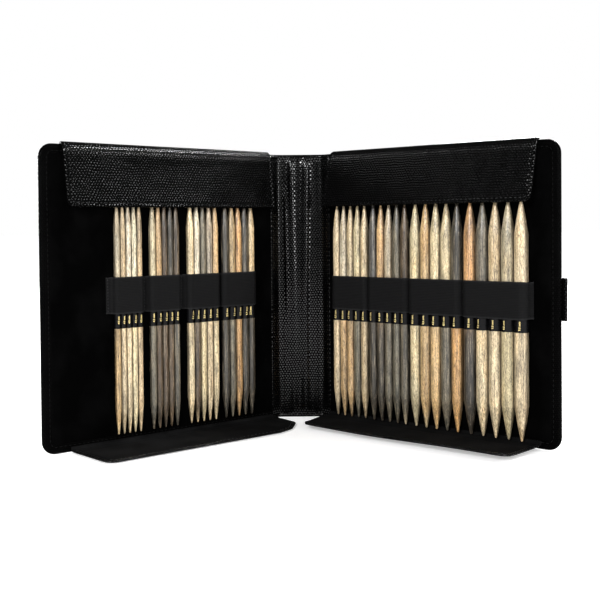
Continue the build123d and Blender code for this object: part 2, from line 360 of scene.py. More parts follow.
def slab(name, front_grid, back_grid, mats, uv, front=0, back=0, rim=0, border=None):
    """Closed sheet between two point grids, with walls round the border.

    front, back and rim are material indices. border is (edge distance, width, material
    index) for a strip along the edges of the front. uv is a pair of grids, in mm."""
    columns, rows = front_grid.shape[:2]
    count = columns * rows
    ids = np.arange(count).reshape(columns, rows)
    quads = np.stack([ids[:-1, :-1], ids[1:, :-1], ids[1:, 1:], ids[:-1, 1:]], -1).reshape(-1, 4)
    front_index = np.full(len(quads), front)
    if border is not None:
        distance, width, index = border
        centre = (distance[:-1, :-1] + distance[1:, :-1]
                  + distance[1:, 1:] + distance[:-1, 1:]).reshape(-1) / 4
        front_index = np.where(centre < width, index, front_index)
    ring = np.concatenate([ids[:, 0], ids[-1, 1:], ids[-2::-1, -1], ids[0, -2:0:-1]])
    following = np.roll(ring, -1)
    wall = np.stack([following, ring, ring + count, following + count], -1)
    verts = np.concatenate([front_grid.reshape(-1, 3), back_grid.reshape(-1, 3)])
    flat_uv = np.stack(uv, -1).reshape(-1, 2)
    back_shift = 0.37                   # keeps the two faces' grain apart
    return make_mesh(
        name, verts, np.concatenate([quads, quads[:, ::-1] + count, wall]), mats,
        np.concatenate([flat_uv, flat_uv + back_shift]),
        np.concatenate([front_index, np.full(len(quads), back), np.full(len(wall), rim)]))


def tube_quads(rings, segments, base=0):
    faces = []
    for k in range(rings - 1):
        for j in range(segments):
            i0 = base + k * segments + j
            i1 = base + k * segments + (j + 1) % segments
            faces.append((i0, i1, i1 + segments, i0 + segments))
    return faces


def capped_tube(rings, segments, base=0):
    start = tuple(base + j for j in range(segments))
    end = tuple(base + (rings - 1) * segments + j for j in range(segments))
    return tube_quads(rings, segments, base) + [start[::-1], end]


def attach(ob, body, replaces=None):
    """Let an object move with a body, in place of a CAD piece."""
    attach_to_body(ob, body)
    if replaces:
        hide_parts(replaces)


# ---------------------------------------------------------------------- stitches
def stitch_row(points, normals, style):
    """Stitches along a path, each as (start, middle, end, normal, thread radius)."""
    length, pitch, radius = style
    table = np.concatenate([points, np.broadcast_to(normals, points.shape)], 1)
    lengths = path_lengths(points)
    count = int(lengths[-1] // pitch)
    margin = (lengths[-1] - count * pitch) / 2
    row = []
    for k in range(count):
        centre = margin + (k + 0.5) * pitch
        start, middle, end = interpolate(
            np.array([centre - length / 2, centre, centre + length / 2]), lengths, table)
        normal = middle[3:] / np.linalg.norm(middle[3:])
        row.append((start[:3], middle[:3], end[:3], normal, radius))
    return row


def sew(name, rows, mat, body):
    """All stitches of one run as a single mesh of plump threads."""
    segments = 6
    plumpness = np.array([0.08, 0.55, 0.9, 1.0, 0.9, 0.55, 0.08])
    rings = len(plumpness)
    t = np.linspace(0, 1, rings)[:, None]
    angles = 2 * math.pi * np.arange(segments)[:, None] / segments
    verts, faces, uv = [], [], []
    for start, middle, end, normal, radius in rows:
        faces += capped_tube(rings, segments, len(verts) * rings * segments)
        start, end = start - normal * radius * 0.9, end - normal * radius * 0.9
        middle = middle + normal * radius * 0.35
        axis = (end - start) / np.linalg.norm(end - start)
        across = np.cross(axis, normal)
        across /= np.linalg.norm(across)
        control = 2 * middle - (start + end) / 2
        centres = (1 - t) ** 2 * start + 2 * t * (1 - t) * control + t ** 2 * end
        circle = across * np.cos(angles) + normal * np.sin(angles)
        verts.append(centres[:, None] + circle[None] * plumpness[:, None, None] * radius)
        uv += [(s * 3, j / segments) for s in t[:, 0] for j in range(segments)]
    ob = make_mesh(name, np.array(verts), faces, [mat], uv, weld=False)
    attach(ob, body)


# --------------------------------------------------------------------- materials
def shade(tone, *ratios):
    return tuple(tone * ratio for ratio in ratios)


class Shader:
    """A Principled material and short ways to add nodes to it."""

    def __init__(self, name):
        self.mat = bpy.data.materials.new(name)
        self.mat.use_nodes = True
        self.tree = self.mat.node_tree
        self.bsdf = self.tree.nodes["Principled BSDF"]

    def add(self, kind, **properties):
        node = self.tree.nodes.new(kind)
        for key, value in properties.items():
            setattr(node, key, value)
        return node

    def feed(self, socket, value):
        """Link a socket, or set a number, vector or RGB colour."""
        if isinstance(value, bpy.types.NodeSocket):
            self.tree.links.new(value, socket)
        elif socket.type == "RGBA":
            socket.default_value = (*value, 1)
        else:
            socket.default_value = value

    def surface(self, inputs):
        for key, value in inputs.items():
            self.feed(self.bsdf.inputs[key], value)

    def math(self, operation, *values, clamp=False):
        node = self.add("ShaderNodeMath", operation=operation, use_clamp=clamp)
        for socket, value in zip(node.inputs, values):
            self.feed(socket, value)
        return node.outputs[0]

    def plus(self, first, second, clamp=False):
        return self.math("ADD", first, second, clamp=clamp)

    def minus(self, first, second):
        return self.math("SUBTRACT", first, second)

    def times(self, first, second):
        return self.math("MULTIPLY", first, second)

    def vector(self, operation, *values, scale=None):
        node = self.add("ShaderNodeVectorMath", operation=operation)
        for socket, value in zip(node.inputs, values):
            self.feed(socket, value)
        if scale is not None:
            node.inputs["Scale"].default_value = scale
        return node.outputs["Value" if operation == "LENGTH" else 0]

    def split(self, vector):
        """The x and y of a vector."""
        node = self.add("ShaderNodeSeparateXYZ")
        self.feed(node.inputs[0], vector)
        return node.outputs[0], node.outputs[1]

    def ramp(self, factor, stops):
        """Colour ramp from {position: grey level or RGB}."""
        node = self.add("ShaderNodeValToRGB")
        elements = node.color_ramp.elements
        while len(elements) < len(stops):
            elements.new(0.5)
        for element, (position, colour) in zip(elements, stops.items()):
            element.position = position
            element.color = (*(colour if isinstance(colour, tuple) else (colour,) * 3), 1)
        self.feed(node.inputs[0], factor)
        return node.outputs[0]

    def mix(self, factor, first, second, mode="MIX"):
        node = self.add("ShaderNodeMix", data_type="RGBA", blend_type=mode)
        for i, value in ((0, factor), (6, first), (7, second)):
            self.feed(node.inputs[i], value)
        return node.outputs[2]

    def coords(self, scale=(1, 1, 1), source="uv"):
        """Scaled coordinates: the UVs in mm, "object" in metres, or a given socket."""
        if source == "uv":
            source = self.add("ShaderNodeUVMap", uv_map="surface_uv").outputs[0]
        elif source == "object":
            source = self.add("ShaderNodeTexCoord").outputs["Object"]
        node = self.add("ShaderNodeMapping")
        node.inputs["Scale"].default_value = scale
        self.feed(node.inputs[0], source)
        return node.outputs[0]

    def noise(self, scale, detail=3.0, rough=0.55, source="uv", output=0):
        vector = self.coords(scale, source)
        node = self.add("ShaderNodeTexNoise")
        node.inputs["Scale"].default_value = 1.0
        node.inputs["Detail"].default_value = detail
        node.inputs["Roughness"].default_value = rough
        self.feed(node.inputs["Vector"], vector)
        return node.outputs[output]

    def bump(self, height, strength, distance):
        node = self.add("ShaderNodeBump")
        node.inputs["Strength"].default_value = strength
        node.inputs["Distance"].default_value = distance
        self.feed(node.inputs["Height"], height)
        self.feed(self.bsdf.inputs["Normal"], node.outputs[0])


def leather_material(name, cell, tone, depth, rough, shine, polish=None):
    """Black leather embossed with staggered rows of small domed scales.

    cell: spacing along a row and between rows, in mm. depth: emboss height in metres.
    polish: a fold rubbed bright, with its centre and half-width up the sheet in mm and
    its extra shine."""
    m = Shader(name)
    # wander the rows a little
    warp = m.noise((0.11, 0.11, 1), detail=2.0, rough=0.5, output="Color")
    wander = m.vector("SCALE", warp, scale=2.6)
    along, up = m.split(m.vector("ADD", m.coords(), wander))
    # three crossing waves make a hexagonal lattice of domes
    row = m.times(along, 2 * math.pi / cell[0])
    rise = m.times(up, math.pi / cell[1])
    waves = m.plus(m.math("COSINE", m.plus(row, rise)), m.math("COSINE", m.minus(row, rise)))
    waves = m.plus(waves, m.math("COSINE", m.times(rise, 2.0)))
    lattice = m.times(m.plus(waves, 1.5), 1 / 4.5)      # brings -1.5..3 to 0..1
    dome = m.ramp(lattice, {0.0: 0, 0.16: 0.42, 0.42: 0.84, 1.0: 1})
    pores = m.noise((5.0, 5.0, 1), rough=0.6)
    broad = m.noise((0.05, 0.05, 1), rough=0.5)
    # share of the pores and of the broad unevenness in the relief
    height = m.plus(m.plus(dome, m.times(pores, 0.035)), m.times(broad, 0.5))

    # colour: painted shade darkens the valleys between the domes, and paler patches where the
    # leather is rubbed
    colour = m.mix(dome, shade(tone, 0.3, 0.3, 0.31), shade(tone, 1, 1, 1.02))
    rubbed = m.ramp(broad, {0.35: 0, 0.75: 1})
    colour = m.mix(rubbed, colour, shade(tone, 1.6, 1.57, 1.55))
    # roughness: valleys are duller, and both noises vary it about their middle
    gloss = m.plus(m.times(dome, -0.15), rough + 0.15)
    gloss = m.plus(gloss, m.times(m.minus(broad, 0.5), 0.22))
    gloss = m.plus(gloss, m.times(m.minus(pores, 0.5), 0.12), clamp=True)
    # only the tops of the domes shine
    tops = m.math("POWER", dome, 4.0)
    level = m.times(tops, shine)
    if polish:
        _, sheet_up = m.split(m.coords())
        away = m.times(m.minus(sheet_up, polish["centre"]), 1.0 / polish["half_width"])
        near = m.math("POWER", 2.718, m.times(m.times(away, away), -1.0))
        level = m.plus(level, m.times(m.times(near, tops), polish["shine"]), clamp=True)
    m.surface({"Base Color": colour, "Roughness": gloss, "Specular IOR Level": level})
    m.bump(height, strength=1.0, distance=depth)
    return m.mat


def suede_material(name, tone=0.0008, shine=0.0):
    """Matt black nap: short fibres brushed in patches, with the sheen they catch painted in as
    paler colour.
    """
    m = Shader(name)
    fibre = m.noise((6.0, 2.2, 1), detail=4.0, rough=0.7)
    patch = m.noise((0.045, 0.03, 1))
    colour = m.mix(m.ramp(fibre, {0.3: 0, 0.75: 1}),
                   shade(tone, 0.6, 0.6, 0.62), shade(tone, 1.5, 1.5, 1.55))
    # paler patches: brushed nap, its sheen painted in as a lighter colour
    brushed_nap_painted_sheen = m.ramp(patch, {0.42: 0, 0.62: 0.8})
    colour = m.mix(brushed_nap_painted_sheen, colour, shade(tone, 2.3, 2.3, 2.35))
    fibre_roughness, base_roughness = 0.1, 0.86
    m.surface({"Base Color": colour,
               "Roughness": m.plus(m.times(fibre, fibre_roughness), base_roughness),
               "Specular IOR Level": shine,
               "Sheen Weight": shine * 0.05,
               "Sheen Roughness": 0.5})
    m.bump(m.plus(fibre, m.times(patch, 1.5)), strength=0.5, distance=0.00015)
    return m.mat


def elastic_material(name):
    """Black woven elastic: ribs along the ribbon crossed by weft threads, and pale edges."""
    weft_pitch = 0.6
    m = Shader(name)
    along, up = m.split(m.coords())
    rib = m.math("SINE", m.times(up, 2 * math.pi / RIB_PITCH))
    weft = m.math("SINE", m.times(along, 2 * math.pi / weft_pitch))
    fuzz = m.noise((5.0, 5.0, 1), rough=0.6)
    # shares of rib, weft and fuzz in the relief
    height = m.plus(m.times(rib, 0.35), m.times(weft, 0.22))
    height = m.plus(height, m.times(fuzz, 0.4))
    raised = m.plus(m.times(height, 0.5), 0.5, clamp=True)
    weave = m.mix(raised, (0.0015, 0.0015, 0.0016), (0.0100, 0.0100, 0.0103))
    # distance from the ribbon's middle, 1 at its edges
    half = RIBBON_HEIGHT / 2
    from_middle = m.times(m.math("ABSOLUTE", m.minus(up, half)), 1 / half)
    edge = m.ramp(from_middle, {0.90: 0, 0.94: 1, 0.985: 1, 1.0: 0.2})
    edge_strength, edge_colour = 0.55, (0.020, 0.020, 0.0205)
    fuzz_roughness, base_roughness = 0.2, 0.55
    m.surface({"Base Color": m.mix(m.times(edge, edge_strength), weave, edge_colour),
               "Roughness": m.plus(m.times(fuzz, fuzz_roughness), base_roughness),
               "Specular IOR Level": 0.03,
               "Sheen Weight": 0.0,
               "Sheen Roughness": 0.4})
    m.bump(height, strength=0.7, distance=0.00012)
    return m.mat


def thread_material(name, low, high):
    """Twisted thread, from a low to a high grey."""
    m = Shader(name)
    along, around = m.split(m.coords())
    turns = m.plus(m.times(along, 3.0), around)
    twist = m.math("SINE", m.times(turns, 2 * math.pi))
    raised = m.plus(m.times(twist, 0.5), 0.5)
    m.surface({"Base Color": m.mix(raised, shade(low, 1, 1, 1.05), shade(high, 1, 1, 1.03)),
               "Roughness": 0.5,
               "Specular IOR Level": high * 9})
    m.bump(twist, strength=0.5, distance=0.00006)
    return m.mat


def wood_material(name):
    """Lacquered wood. Each needle's tone, with painted shade on its flanks, and grain shift come
    from its attributes.
    """
    m = Shader(name)
    tone = m.add("ShaderNodeAttribute", attribute_name="wood_tone_and_shade").outputs["Color"]
    seed = m.add("ShaderNodeAttribute", attribute_name="wood_seed").outputs["Vector"]
    position = m.add("ShaderNodeTexCoord").outputs["Object"]
    seed_reach = (0.3, 0.3, 0.3)
    shifted = m.vector("MULTIPLY_ADD", seed, seed_reach, position)

    def grain(across, up, detail, rough):
        return m.noise((across, across, up), detail=detail, rough=rough, source=shifted)

    veins = grain(across=620, up=16, detail=5.0, rough=0.62)
    streak = grain(across=2200, up=115, detail=4.0, rough=0.68)
    pores = grain(across=2500, up=540, detail=4.0, rough=0.65)
    cloud = grain(across=150, up=34, detail=4.0, rough=0.6)
    colour = m.mix(1.0, tone, m.ramp(veins, {
        0.34: (0.40, 0.39, 0.38), 0.46: (0.80, 0.79, 0.77),
        0.56: 1, 0.72: (1.10, 1.02, 0.90)}), "MULTIPLY")
    colour = m.mix(0.9, colour, m.ramp(streak, {
        0.38: (0.30, 0.28, 0.26), 0.49: (0.80, 0.79, 0.77), 0.62: (1.14, 1.12, 1.08)}), "MULTIPLY")
    colour = m.mix(0.85, colour, m.ramp(cloud, {
        0.36: (0.52, 0.53, 0.55), 0.5: 1, 0.68: (1.08, 0.96, 0.82)}), "MULTIPLY")
    # pale flecks, half a fixed straw and half the needle's own tone
    pale = m.ramp(grain(across=1500, up=60, detail=4.0, rough=0.7), {0.52: 0, 0.62: 0.52})
    own_fleck = m.mix(1.0, tone, (1.25, 1.15, 1.0), "MULTIPLY")
    colour = m.mix(pale, colour, m.mix(0.5, (0.60, 0.50, 0.36), own_fleck))
    colour = m.mix(0.8, colour, m.ramp(pores, {
        0.38: (0.22, 0.20, 0.18), 0.50: (0.88, 0.87, 0.85), 0.62: 1.15}), "MULTIPLY")
    streak_roughness, base_roughness = 0.2, 0.3
    m.surface({"Base Color": colour,
               "Roughness": m.plus(m.times(streak, streak_roughness), base_roughness),
               "Coat Weight": 0.25,
               "Coat Roughness": 0.28})
    m.bump(m.plus(streak, m.times(pores, 0.5)), strength=0.22, distance=0.00008)
    return m.mat


def band_material(name):
    """Black lacquer band, with brush marks round the stick."""
    m = Shader(name)
    brush = m.noise((300, 300, 4200), detail=2.0, source="object")
    brush_roughness, base_roughness = 0.08, 0.08
    m.surface({"Base Color": m.mix(brush, (0.0015, 0.0015, 0.0017), (0.005, 0.005, 0.0055)),
               "Roughness": m.plus(m.times(brush, brush_roughness), base_roughness),
               "Specular IOR Level": 0.11})
    m.bump(brush, strength=0.25, distance=0.00003)
    return m.mat


def gold_material(name):
    m = Shader(name)
    speckle = m.noise((9000, 9000, 9000), detail=2.0, source="object")
    bright = m.ramp(speckle, {0.35: 0, 0.65: 1})
    speckle_roughness, base_roughness = 0.2, 0.28
    m.surface({"Base Color": m.mix(bright, (0.75, 0.55, 0.18), (1.0, 0.82, 0.38)),
               "Metallic": 0.25,
               "Roughness": m.plus(m.times(speckle, speckle_roughness), base_roughness)})
    m.bump(speckle, strength=0.2, distance=0.00002)
    return m.mat


def snap_material(name):
    """Black lacquered metal, worn in spots."""
    m = Shader(name)
    spots = m.noise((900, 900, 900), detail=4.0, source="object")
    wear = m.ramp(spots, {0.62: 0, 0.72: 1})
    wear_metallic, base_metallic = -0.3, 0.85
    spot_roughness, base_roughness = 0.2, 0.2
    m.surface({"Base Color": m.mix(wear, (0.012, 0.012, 0.013), (0.10, 0.095, 0.09)),
               "Metallic": m.plus(m.times(wear, wear_metallic), base_metallic),
               "Roughness": m.plus(m.times(spots, spot_roughness), base_roughness)})
    m.bump(spots, strength=0.15, distance=0.00005)
    return m.mat


def board_material(name):
    m = Shader(name)
    fibre = m.noise((700, 700, 700), detail=5.0, source="object")
    m.surface({"Base Color": m.mix(fibre, (0.16, 0.145, 0.12), (0.30, 0.275, 0.235)),
               "Roughness": 0.9})
    m.bump(fibre, strength=0.3, distance=0.0001)
    return m.mat


LEATHER = leather_material("leather_grained", cell=(2.1, 1.65), tone=0.0010, depth=0.00028,
                           rough=0.13, shine=0.30)
LEATHER_FLAP = leather_material("leather_flap", cell=(2.1, 1.65), tone=0.0009, depth=0.00022,
                                rough=0.15, shine=0.24,
                                polish=dict(centre=8.3, half_width=1.5, shine=0.8))
LEATHER_SPINE = leather_material("leather_spine", cell=(1.9, 1.7), tone=0.0006, depth=0.00006,
                                 rough=0.12, shine=0.62)
LEATHER_HEM = leather_material("leather_hem", cell=(1.5, 1.2), tone=0.0008, depth=0.00014,
                               rough=0.30, shine=0.05)
# a lighter copy of the black leather for the turned edge: partly a real edge binding, partly a
# painted highlight along the edge
LEATHER_EDGE_HIGHLIGHT = leather_material("leather_turned_edge_painted_highlight", cell=(1.7, 1.3), tone=0.004,
                                depth=0.00022, rough=0.22, shine=0.5)
SUEDE = suede_material("suede_lining")
SUEDE_FLAP = suede_material("suede_flap", tone=0.0032, shine=0.03)
ELASTIC = elastic_material("woven_elastic")
THREAD = thread_material("thread", low=0.010, high=0.035)
THREAD_DARK = thread_material("thread_dark", low=0.002, high=0.008)
WOOD = wood_material("weathered_wood")
BAND = band_material("band_lacquer")
GOLD = gold_material("gold_foil")
SNAP = snap_material("snap_lacquer")
BOARD = board_material("greyboard")


# ------------------------------------------------------------ case: outer leather
# Back of the spine in plan: distance from the middle, y.
SPINE_BACK = [(0, 4.3), (5, 4.25), (9, 4.1), (12.5, 3.9), (15.0, 3.75), (17.0, 3.3), (18.6, 2.4)]


def outer_plan():
    """Outside of the right half in plan, from the middle of the spine to the fore edge."""
    start, second, end = cover_xyz(RIGHT, [3.0, 5.0, COVER_WIDTH], -COVER_BACK, 0.0)[:, :2]
    plan = smooth_path([*SPINE_BACK, start, second], 0.25, rounds=3)
    plan = np.concatenate([plan, [end]])
    return path_lengths(plan), plan


def plan_face(points, normals, amount, z):
    """Points moved in plan, at given heights."""
    return np.concatenate([offset(points, normals, amount), z[..., None]], -1)


def case_skin(side):
    """Half of the outer leather in one sheet: half the spine, the soft hinge, the cover's
    back, its rounded edges and the hem turned in round the lining."""
    lengths, plan = outer_plan()
    total = lengths[-1]
    corner_radius = 9.0
    grid, outline = outline_grid(
        [(0, 0), (total, 0), (total, COVER_HEIGHT), (0, COVER_HEIGHT)],
        [0, corner_radius, corner_radius, 0], (0, 1, 2, 3))
    across, z = grid[..., 0], grid[..., 1]
    # the middle of the spine is no real edge, so near it only the two ends count
    from_end = np.minimum(z, COVER_HEIGHT - z)
    by_spine = (across < from_end + 1e-6) & (across < 20)
    edge = np.where(by_spine, from_end, edge_distance(grid, outline))

    mirror = np.array([side, 1])
    surface = interpolate(across, lengths, plan) * mirror
    travel = (interpolate(across + 0.05, lengths, plan)
              - interpolate(np.maximum(across - 0.05, 0), lengths, plan)) * mirror
    travel /= np.linalg.norm(travel, axis=-1)[..., None]
    inwards = np.stack([travel[..., 1], -travel[..., 0]], -1) * side

    along = across - (total - COVER_WIDTH)
    thick = HINGE_THICK + (COVER_THICK - HINGE_THICK) * smoothstep((along - 2.6) / 2.6)
    half = thick / 2
    rounded = half * rounding(edge, np.minimum(half, 1.7))
    padding = 0.30 * (1 - np.exp(-edge / 9.0)) * unit((along - 3) / 10)
    groove = 0.10 * bell(edge, 4.6, 0.5)
    wave = (0.10 * np.sin(across * 0.045 + 1.0) * np.sin(z * 0.038 + 0.5)
            * unit(edge / 12) * unit(along / 20))
    under_lining = 0.55 * unit((edge - 5.9) / 0.5) * unit((along - 4.5) / 1.0)
    outside = rounded + padding - groove + wave
    inside = rounded - groove * unit(along) - under_lining
    middle = offset(surface, inwards, half)
    ob = slab("case_skin_" + NAME[side], plan_face(middle, inwards, inside, z),
              plan_face(middle, inwards, -outside, z), [LEATHER, LEATHER_HEM], (across, z),
              front=1)
    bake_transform(ob)
    if side == LEFT:
        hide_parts("left_outer_leather")
    else:
        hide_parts("right_outer_leather", "spine_outer_leather")


def cover_stitching(side):
    """Hem stitches on the inside face and the back, along the three free edges."""
    inset, start = 4.6, 6.5
    far, top = COVER_WIDTH - inset, COVER_HEIGHT - inset
    path = rounded_outline([(start, inset), (far, inset), (far, top), (start, top)],
                           [0, 4.6, 4.6, 0])[0]
    rows = []
    for out, facing in ((0.02, 1), (-4.08, -1)):
        rows += stitch_row(cover_xyz(side, path[:, 0], out, path[:, 1]),
                           cover_direction(side, 0, facing), STITCH["cover"])
    sew("cover_stitching_" + NAME[side], rows, THREAD_DARK, NAME[side] + "_cover")


# ------------------------------------------------------------------ case: linings
def lining(side):
    """Padded suede panel inside the hem."""
    near, far, top = 5.0, COVER_WIDTH - HEM, COVER_HEIGHT - HEM
    grid, outline = outline_grid(
        [(near, HEM), (far, HEM), (far, top), (near, top)], [0.5, 3.3, 3.3, 0.5], (0, 1, 2, 3),
        fine=[0, 0.15, 0.4, 0.8, 1.4, 2.2, 3.4, 5, 7.5, 10], coarse=3.5)
    along, z = grid[..., 0], grid[..., 1]
    edge = edge_distance(grid, outline)
    puff = (0.22 * (1 - np.exp(-edge / 3.0))
            + 0.05 * np.sin(along * 0.11 + 2) * np.sin(z * 0.09 + side) * unit(edge / 10))
    face = -0.45 + 0.38 * rounding(edge, 0.8) + puff * 0.9
    underside = -0.80 + 0.35 * (1 - rounding(edge, 0.4))
    ob = slab("lining_" + NAME[side], cover_xyz(side, along, face, z),
              cover_xyz(side, along, underside, z), [SUEDE], (along, z))
    attach(ob, NAME[side] + "_cover", replaces=NAME[side] + "_lining")


# ------------------------------------------------------------- case: inside spine
SPINE_Z = symmetric([0.35, 0.5, 0.8, 1.2, 1.8, 2.4, 3.0, 3.6, 4.4],
                    np.linspace(6, SPINE_HEIGHT - 6, 74), SPINE_HEIGHT + 0.35)


def spine_folds(x, z, from_end):
    """How far the inside leather stands to the front: soft upright folds."""
    up = unit((z - 20) / 150)
    left_fold = -5.9 + 0.8 * np.sin(z * 0.018 + 0.6)
    right_fold = 3.9 - 0.9 * np.sin(z * 0.021 + 0.2)
    outer_fold = -10.3 + 0.5 * np.sin(z * 0.03)
    outer_fade = unit((172 - z) / 25) * unit((z - 55) / 40)
    height = 1.3 * bell(x, left_fold, 2.3) * (0.6 + 0.4 * up) + 1.6 * bell(x, right_fold, 2.9)
    height = height + 1.1 * bell(x, outer_fold, 1.5) * outer_fade
    height = height + 0.4 * bell(x, 9.2, 1.8) * (1 - up) + 0.3 * bell(x, -1.2, 6)
    return height * unit((12.4 - np.abs(x)) / 2.2) ** 0.7 * unit(from_end / 9) ** 0.6


def spine_dip(x, z):
    """How far the top edge sags in the middle."""
    return 0.9 * np.cos(x / SPINE_INSIDE_HALF * math.pi / 2) ** 2 * unit((z - 150) / 43) ** 3


def end_hem(from_end):
    return 0.28 * bell(from_end, 1.3, 1.0) - 0.16 * bell(from_end, 3.0, 0.5)


def spine_inside():
    """Grained leather over the inside of the spine."""
    x, z = np.meshgrid(np.linspace(-SPINE_INSIDE_HALF, SPINE_INSIDE_HALF, 91), SPINE_Z,
                       indexing="ij")
    from_end = np.minimum(z - SPINE_Z[0], SPINE_Z[-1] - z)
    rounded = rounding(from_end, 0.7)
    core, front, back = 0.1, -0.45, 0.75            # y of the mid-plane and both faces
    front_y = front - spine_folds(x, z, from_end) - end_hem(from_end)
    dipped = z - spine_dip(x, z)
    ob = slab("spine_inside",
              np.stack([x, core + (front_y - core) * rounded, dipped], -1),
              np.stack([x, core + (back - core) * rounded, dipped], -1),
              [LEATHER_SPINE], (x, z))
    attach(ob, "spine", replaces="spine_inner_leather")


def spine_stitching():
    """A row of stitches just inside each end of the spine."""
    inset = 3.0
    x = np.linspace(-11.6, 11.6, 60)
    rows = []
    for z in (SPINE_Z[0] + inset, SPINE_Z[-1] - inset):
        y = -0.45 - spine_folds(x, z, inset) + 0.05
        rows += stitch_row(np.stack([x, y, z - spine_dip(x, z)], -1), (0, -1, 0),
                           STITCH["spine"])
    sew("spine_stitching", rows, THREAD, "spine")


def hinge_inside(side):
    """Soft leather strip from the spine's inside to the cover, and its stitches."""
    # spine end of the strip: distance from the middle, y
    spine_end = [(12.5, -0.45), (13.2, -0.45), (14.4, -0.5), (15.6, -0.75)]
    # cover end of the strip: along, out
    cover_end = [(1.4, 0.55), (3.2, 0.5), (5.6, 0.45), (7.6, 0.42)]
    points = [(x * side, y) for x, y in spine_end]
    points += [cover_xyz(side, along, out, 0.0)[:2] for along, out in cover_end]
    path = smooth_path(points, 0.4)
    to_front = -side * path_normals(path)
    lengths = path_lengths(path)
    along, z = np.meshgrid(lengths, SPINE_Z, indexing="ij")
    from_end = np.minimum(z - SPINE_Z[0], SPINE_Z[-1] - z)
    from_cover_edge = lengths[-1] - along
    rounded = rounding(from_end, 0.7) * rounding(from_cover_edge, 0.6)
    hem = (end_hem(from_end) + 0.18 * bell(from_cover_edge, 0.8, 0.6)
           - 0.12 * bell(from_cover_edge, 2.0, 0.4))
    half = 0.55
    base, normals = path[:, None], to_front[:, None]
    ob = slab("hinge_inside_" + NAME[side],
              plan_face(base, normals, (half + hem) * rounded - half, z),
              plan_face(base, normals, -half * rounded - half, z),
              [LEATHER_SPINE], (side * (SPINE_INSIDE_HALF + along), z))
    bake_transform(ob)
    seam = cover_xyz(side, 6.0, 0.40, np.linspace(5, 188.5, 200))
    rows = stitch_row(seam, cover_direction(side, 0, 1), STITCH["hinge"])
    sew("hinge_stitching_" + NAME[side], rows, THREAD_DARK, NAME[side] + "_cover")


# ---------------------------------------------------------------------- top flaps
def top_flap_section(tilt):
    """Cross-section (out, z) from the cover's top edge down to the free edge."""
    points = [(-2.2, 194.55), (-0.6, 194.75), (0.7, 194.45), (1.9, 193.4), (3.0, 191.8),
              (3.9, 190.0), (4.3, 188.4)]
    pivot_out, pivot_z = 1.0, 192.5
    for z in (186.8, 184.0, 178.0, 170.0, 163.0, 158.0):
        bulge = 2.0 * unit((z - 160.0) / 27.0) ** 1.3
        points.append((pivot_out + (pivot_z - z) * math.tan(tilt) + bulge, z))
    points.append((pivot_out + TOP_FLAP_LENGTH * math.sin(tilt),
                   pivot_z - TOP_FLAP_LENGTH * math.cos(tilt)))
    return smooth_path(points, 0.5)


def top_flap(side):
    """Flap hanging down from the cover's top edge, and its stitches."""
    flap = TOP_FLAPS[side]
    section = top_flap_section(flap.tilt)
    lengths = path_lengths(section)
    total = lengths[-1]
    (near, far), (top_near, top_far) = flap.ends, flap.top_ends

    def section_at(from_top):
        """Section points, and normals facing the front and up over the top edge."""
        travel = (interpolate(from_top + 0.3, lengths, section)
                  - interpolate(from_top - 0.3, lengths, section))
        travel /= np.linalg.norm(travel, axis=-1)[..., None]
        normals = np.stack([-travel[..., 1], travel[..., 0]], -1)
        return interpolate(from_top, lengths, section), normals

    def sag(along, up, edge):
        slow = 0.35 * np.sin(along * 0.052 + side) * unit(up / 10) * unit((total - up) / 20)
        quick = 0.22 * np.sin(along * 0.13 + 2.0 * side) * (1 - unit(up / 14))
        return slow + quick * unit(edge / 2)

    def place(along, points, normals, amount):
        moved = offset(points, normals, amount)
        return cover_xyz(side, along, moved[..., 0], moved[..., 1])

    # outline as (along, up from the free edge)
    corners = [(near, 0), (far - 1.2, 0), (far, total - 6), (top_far, total),
               (top_near, total), (near + 0.6, total - 6)]
    grid, outline = outline_grid(corners, [1.4, 5.2, 2.0, 0.3, 0.3, 2.0], (0, 1, 3, 4),
                                 coarse=2.6)
    along, up = grid[..., 0], grid[..., 1]
    edge = edge_distance(grid, outline)
    points, normals = section_at(total - up)
    half = 0.75 * rounding(edge, 0.85)
    # no rolled edge along the cover's top
    roll = ((0.34 * bell(edge, 1.0, 0.75) - 0.20 * bell(edge, 2.9, 0.42))
            * unit((total - up - 3.0) / 3.0))
    hang = sag(along, up, edge)
    ob = slab("top_flap_skin_" + NAME[side], place(along, points, normals, half + roll + hang),
              place(along, points, normals, hang - half),
              [LEATHER_FLAP, SUEDE_FLAP, LEATHER_HEM], (along, total - up), back=1, rim=2)
    body = NAME[side] + "_top_flap"
    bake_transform(ob)
    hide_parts(body)

    # stitches down one end, along the free edge and up the other end
    inset = 2.9
    ring = inset_path(outline, inset)
    ring = ring[ring[:, 1] < total - 7.5]
    order = np.argsort(np.arctan2(ring[:, 1] - 60, ring[:, 0] - 90))
    along, up = resample_evenly(ring[order], 700).T
    points, normals = section_at(total - up)
    seam = place(along, points, normals, 0.60 + sag(along, up, inset))
    directions = cover_direction(side, 0, normals[:, 0], normals[:, 1])
    sew("top_flap_stitching_" + NAME[side], stitch_row(seam, directions, STITCH["top_flap"]),
        THREAD, body)


# ------------------------------------------------------------------- bottom flaps
def bottom_flap_height(side, along, out):
    """Height of the sheet's middle, with its curled front and slight waves."""
    flap = BOTTOM_FLAPS[side]
    lift = (flap.curl * unit((out - 30) / 15) ** 2
            * (0.75 + 0.25 * np.sin(along * 0.045 + side)))
    waves = (flap.wave * 0.5 * (1 + np.sin(along * 0.06 + 1.0))
             * unit((out - flap.fold - 6) / 26))
    return flap.level + (lift + waves) * unit((out - flap.join) / 3)


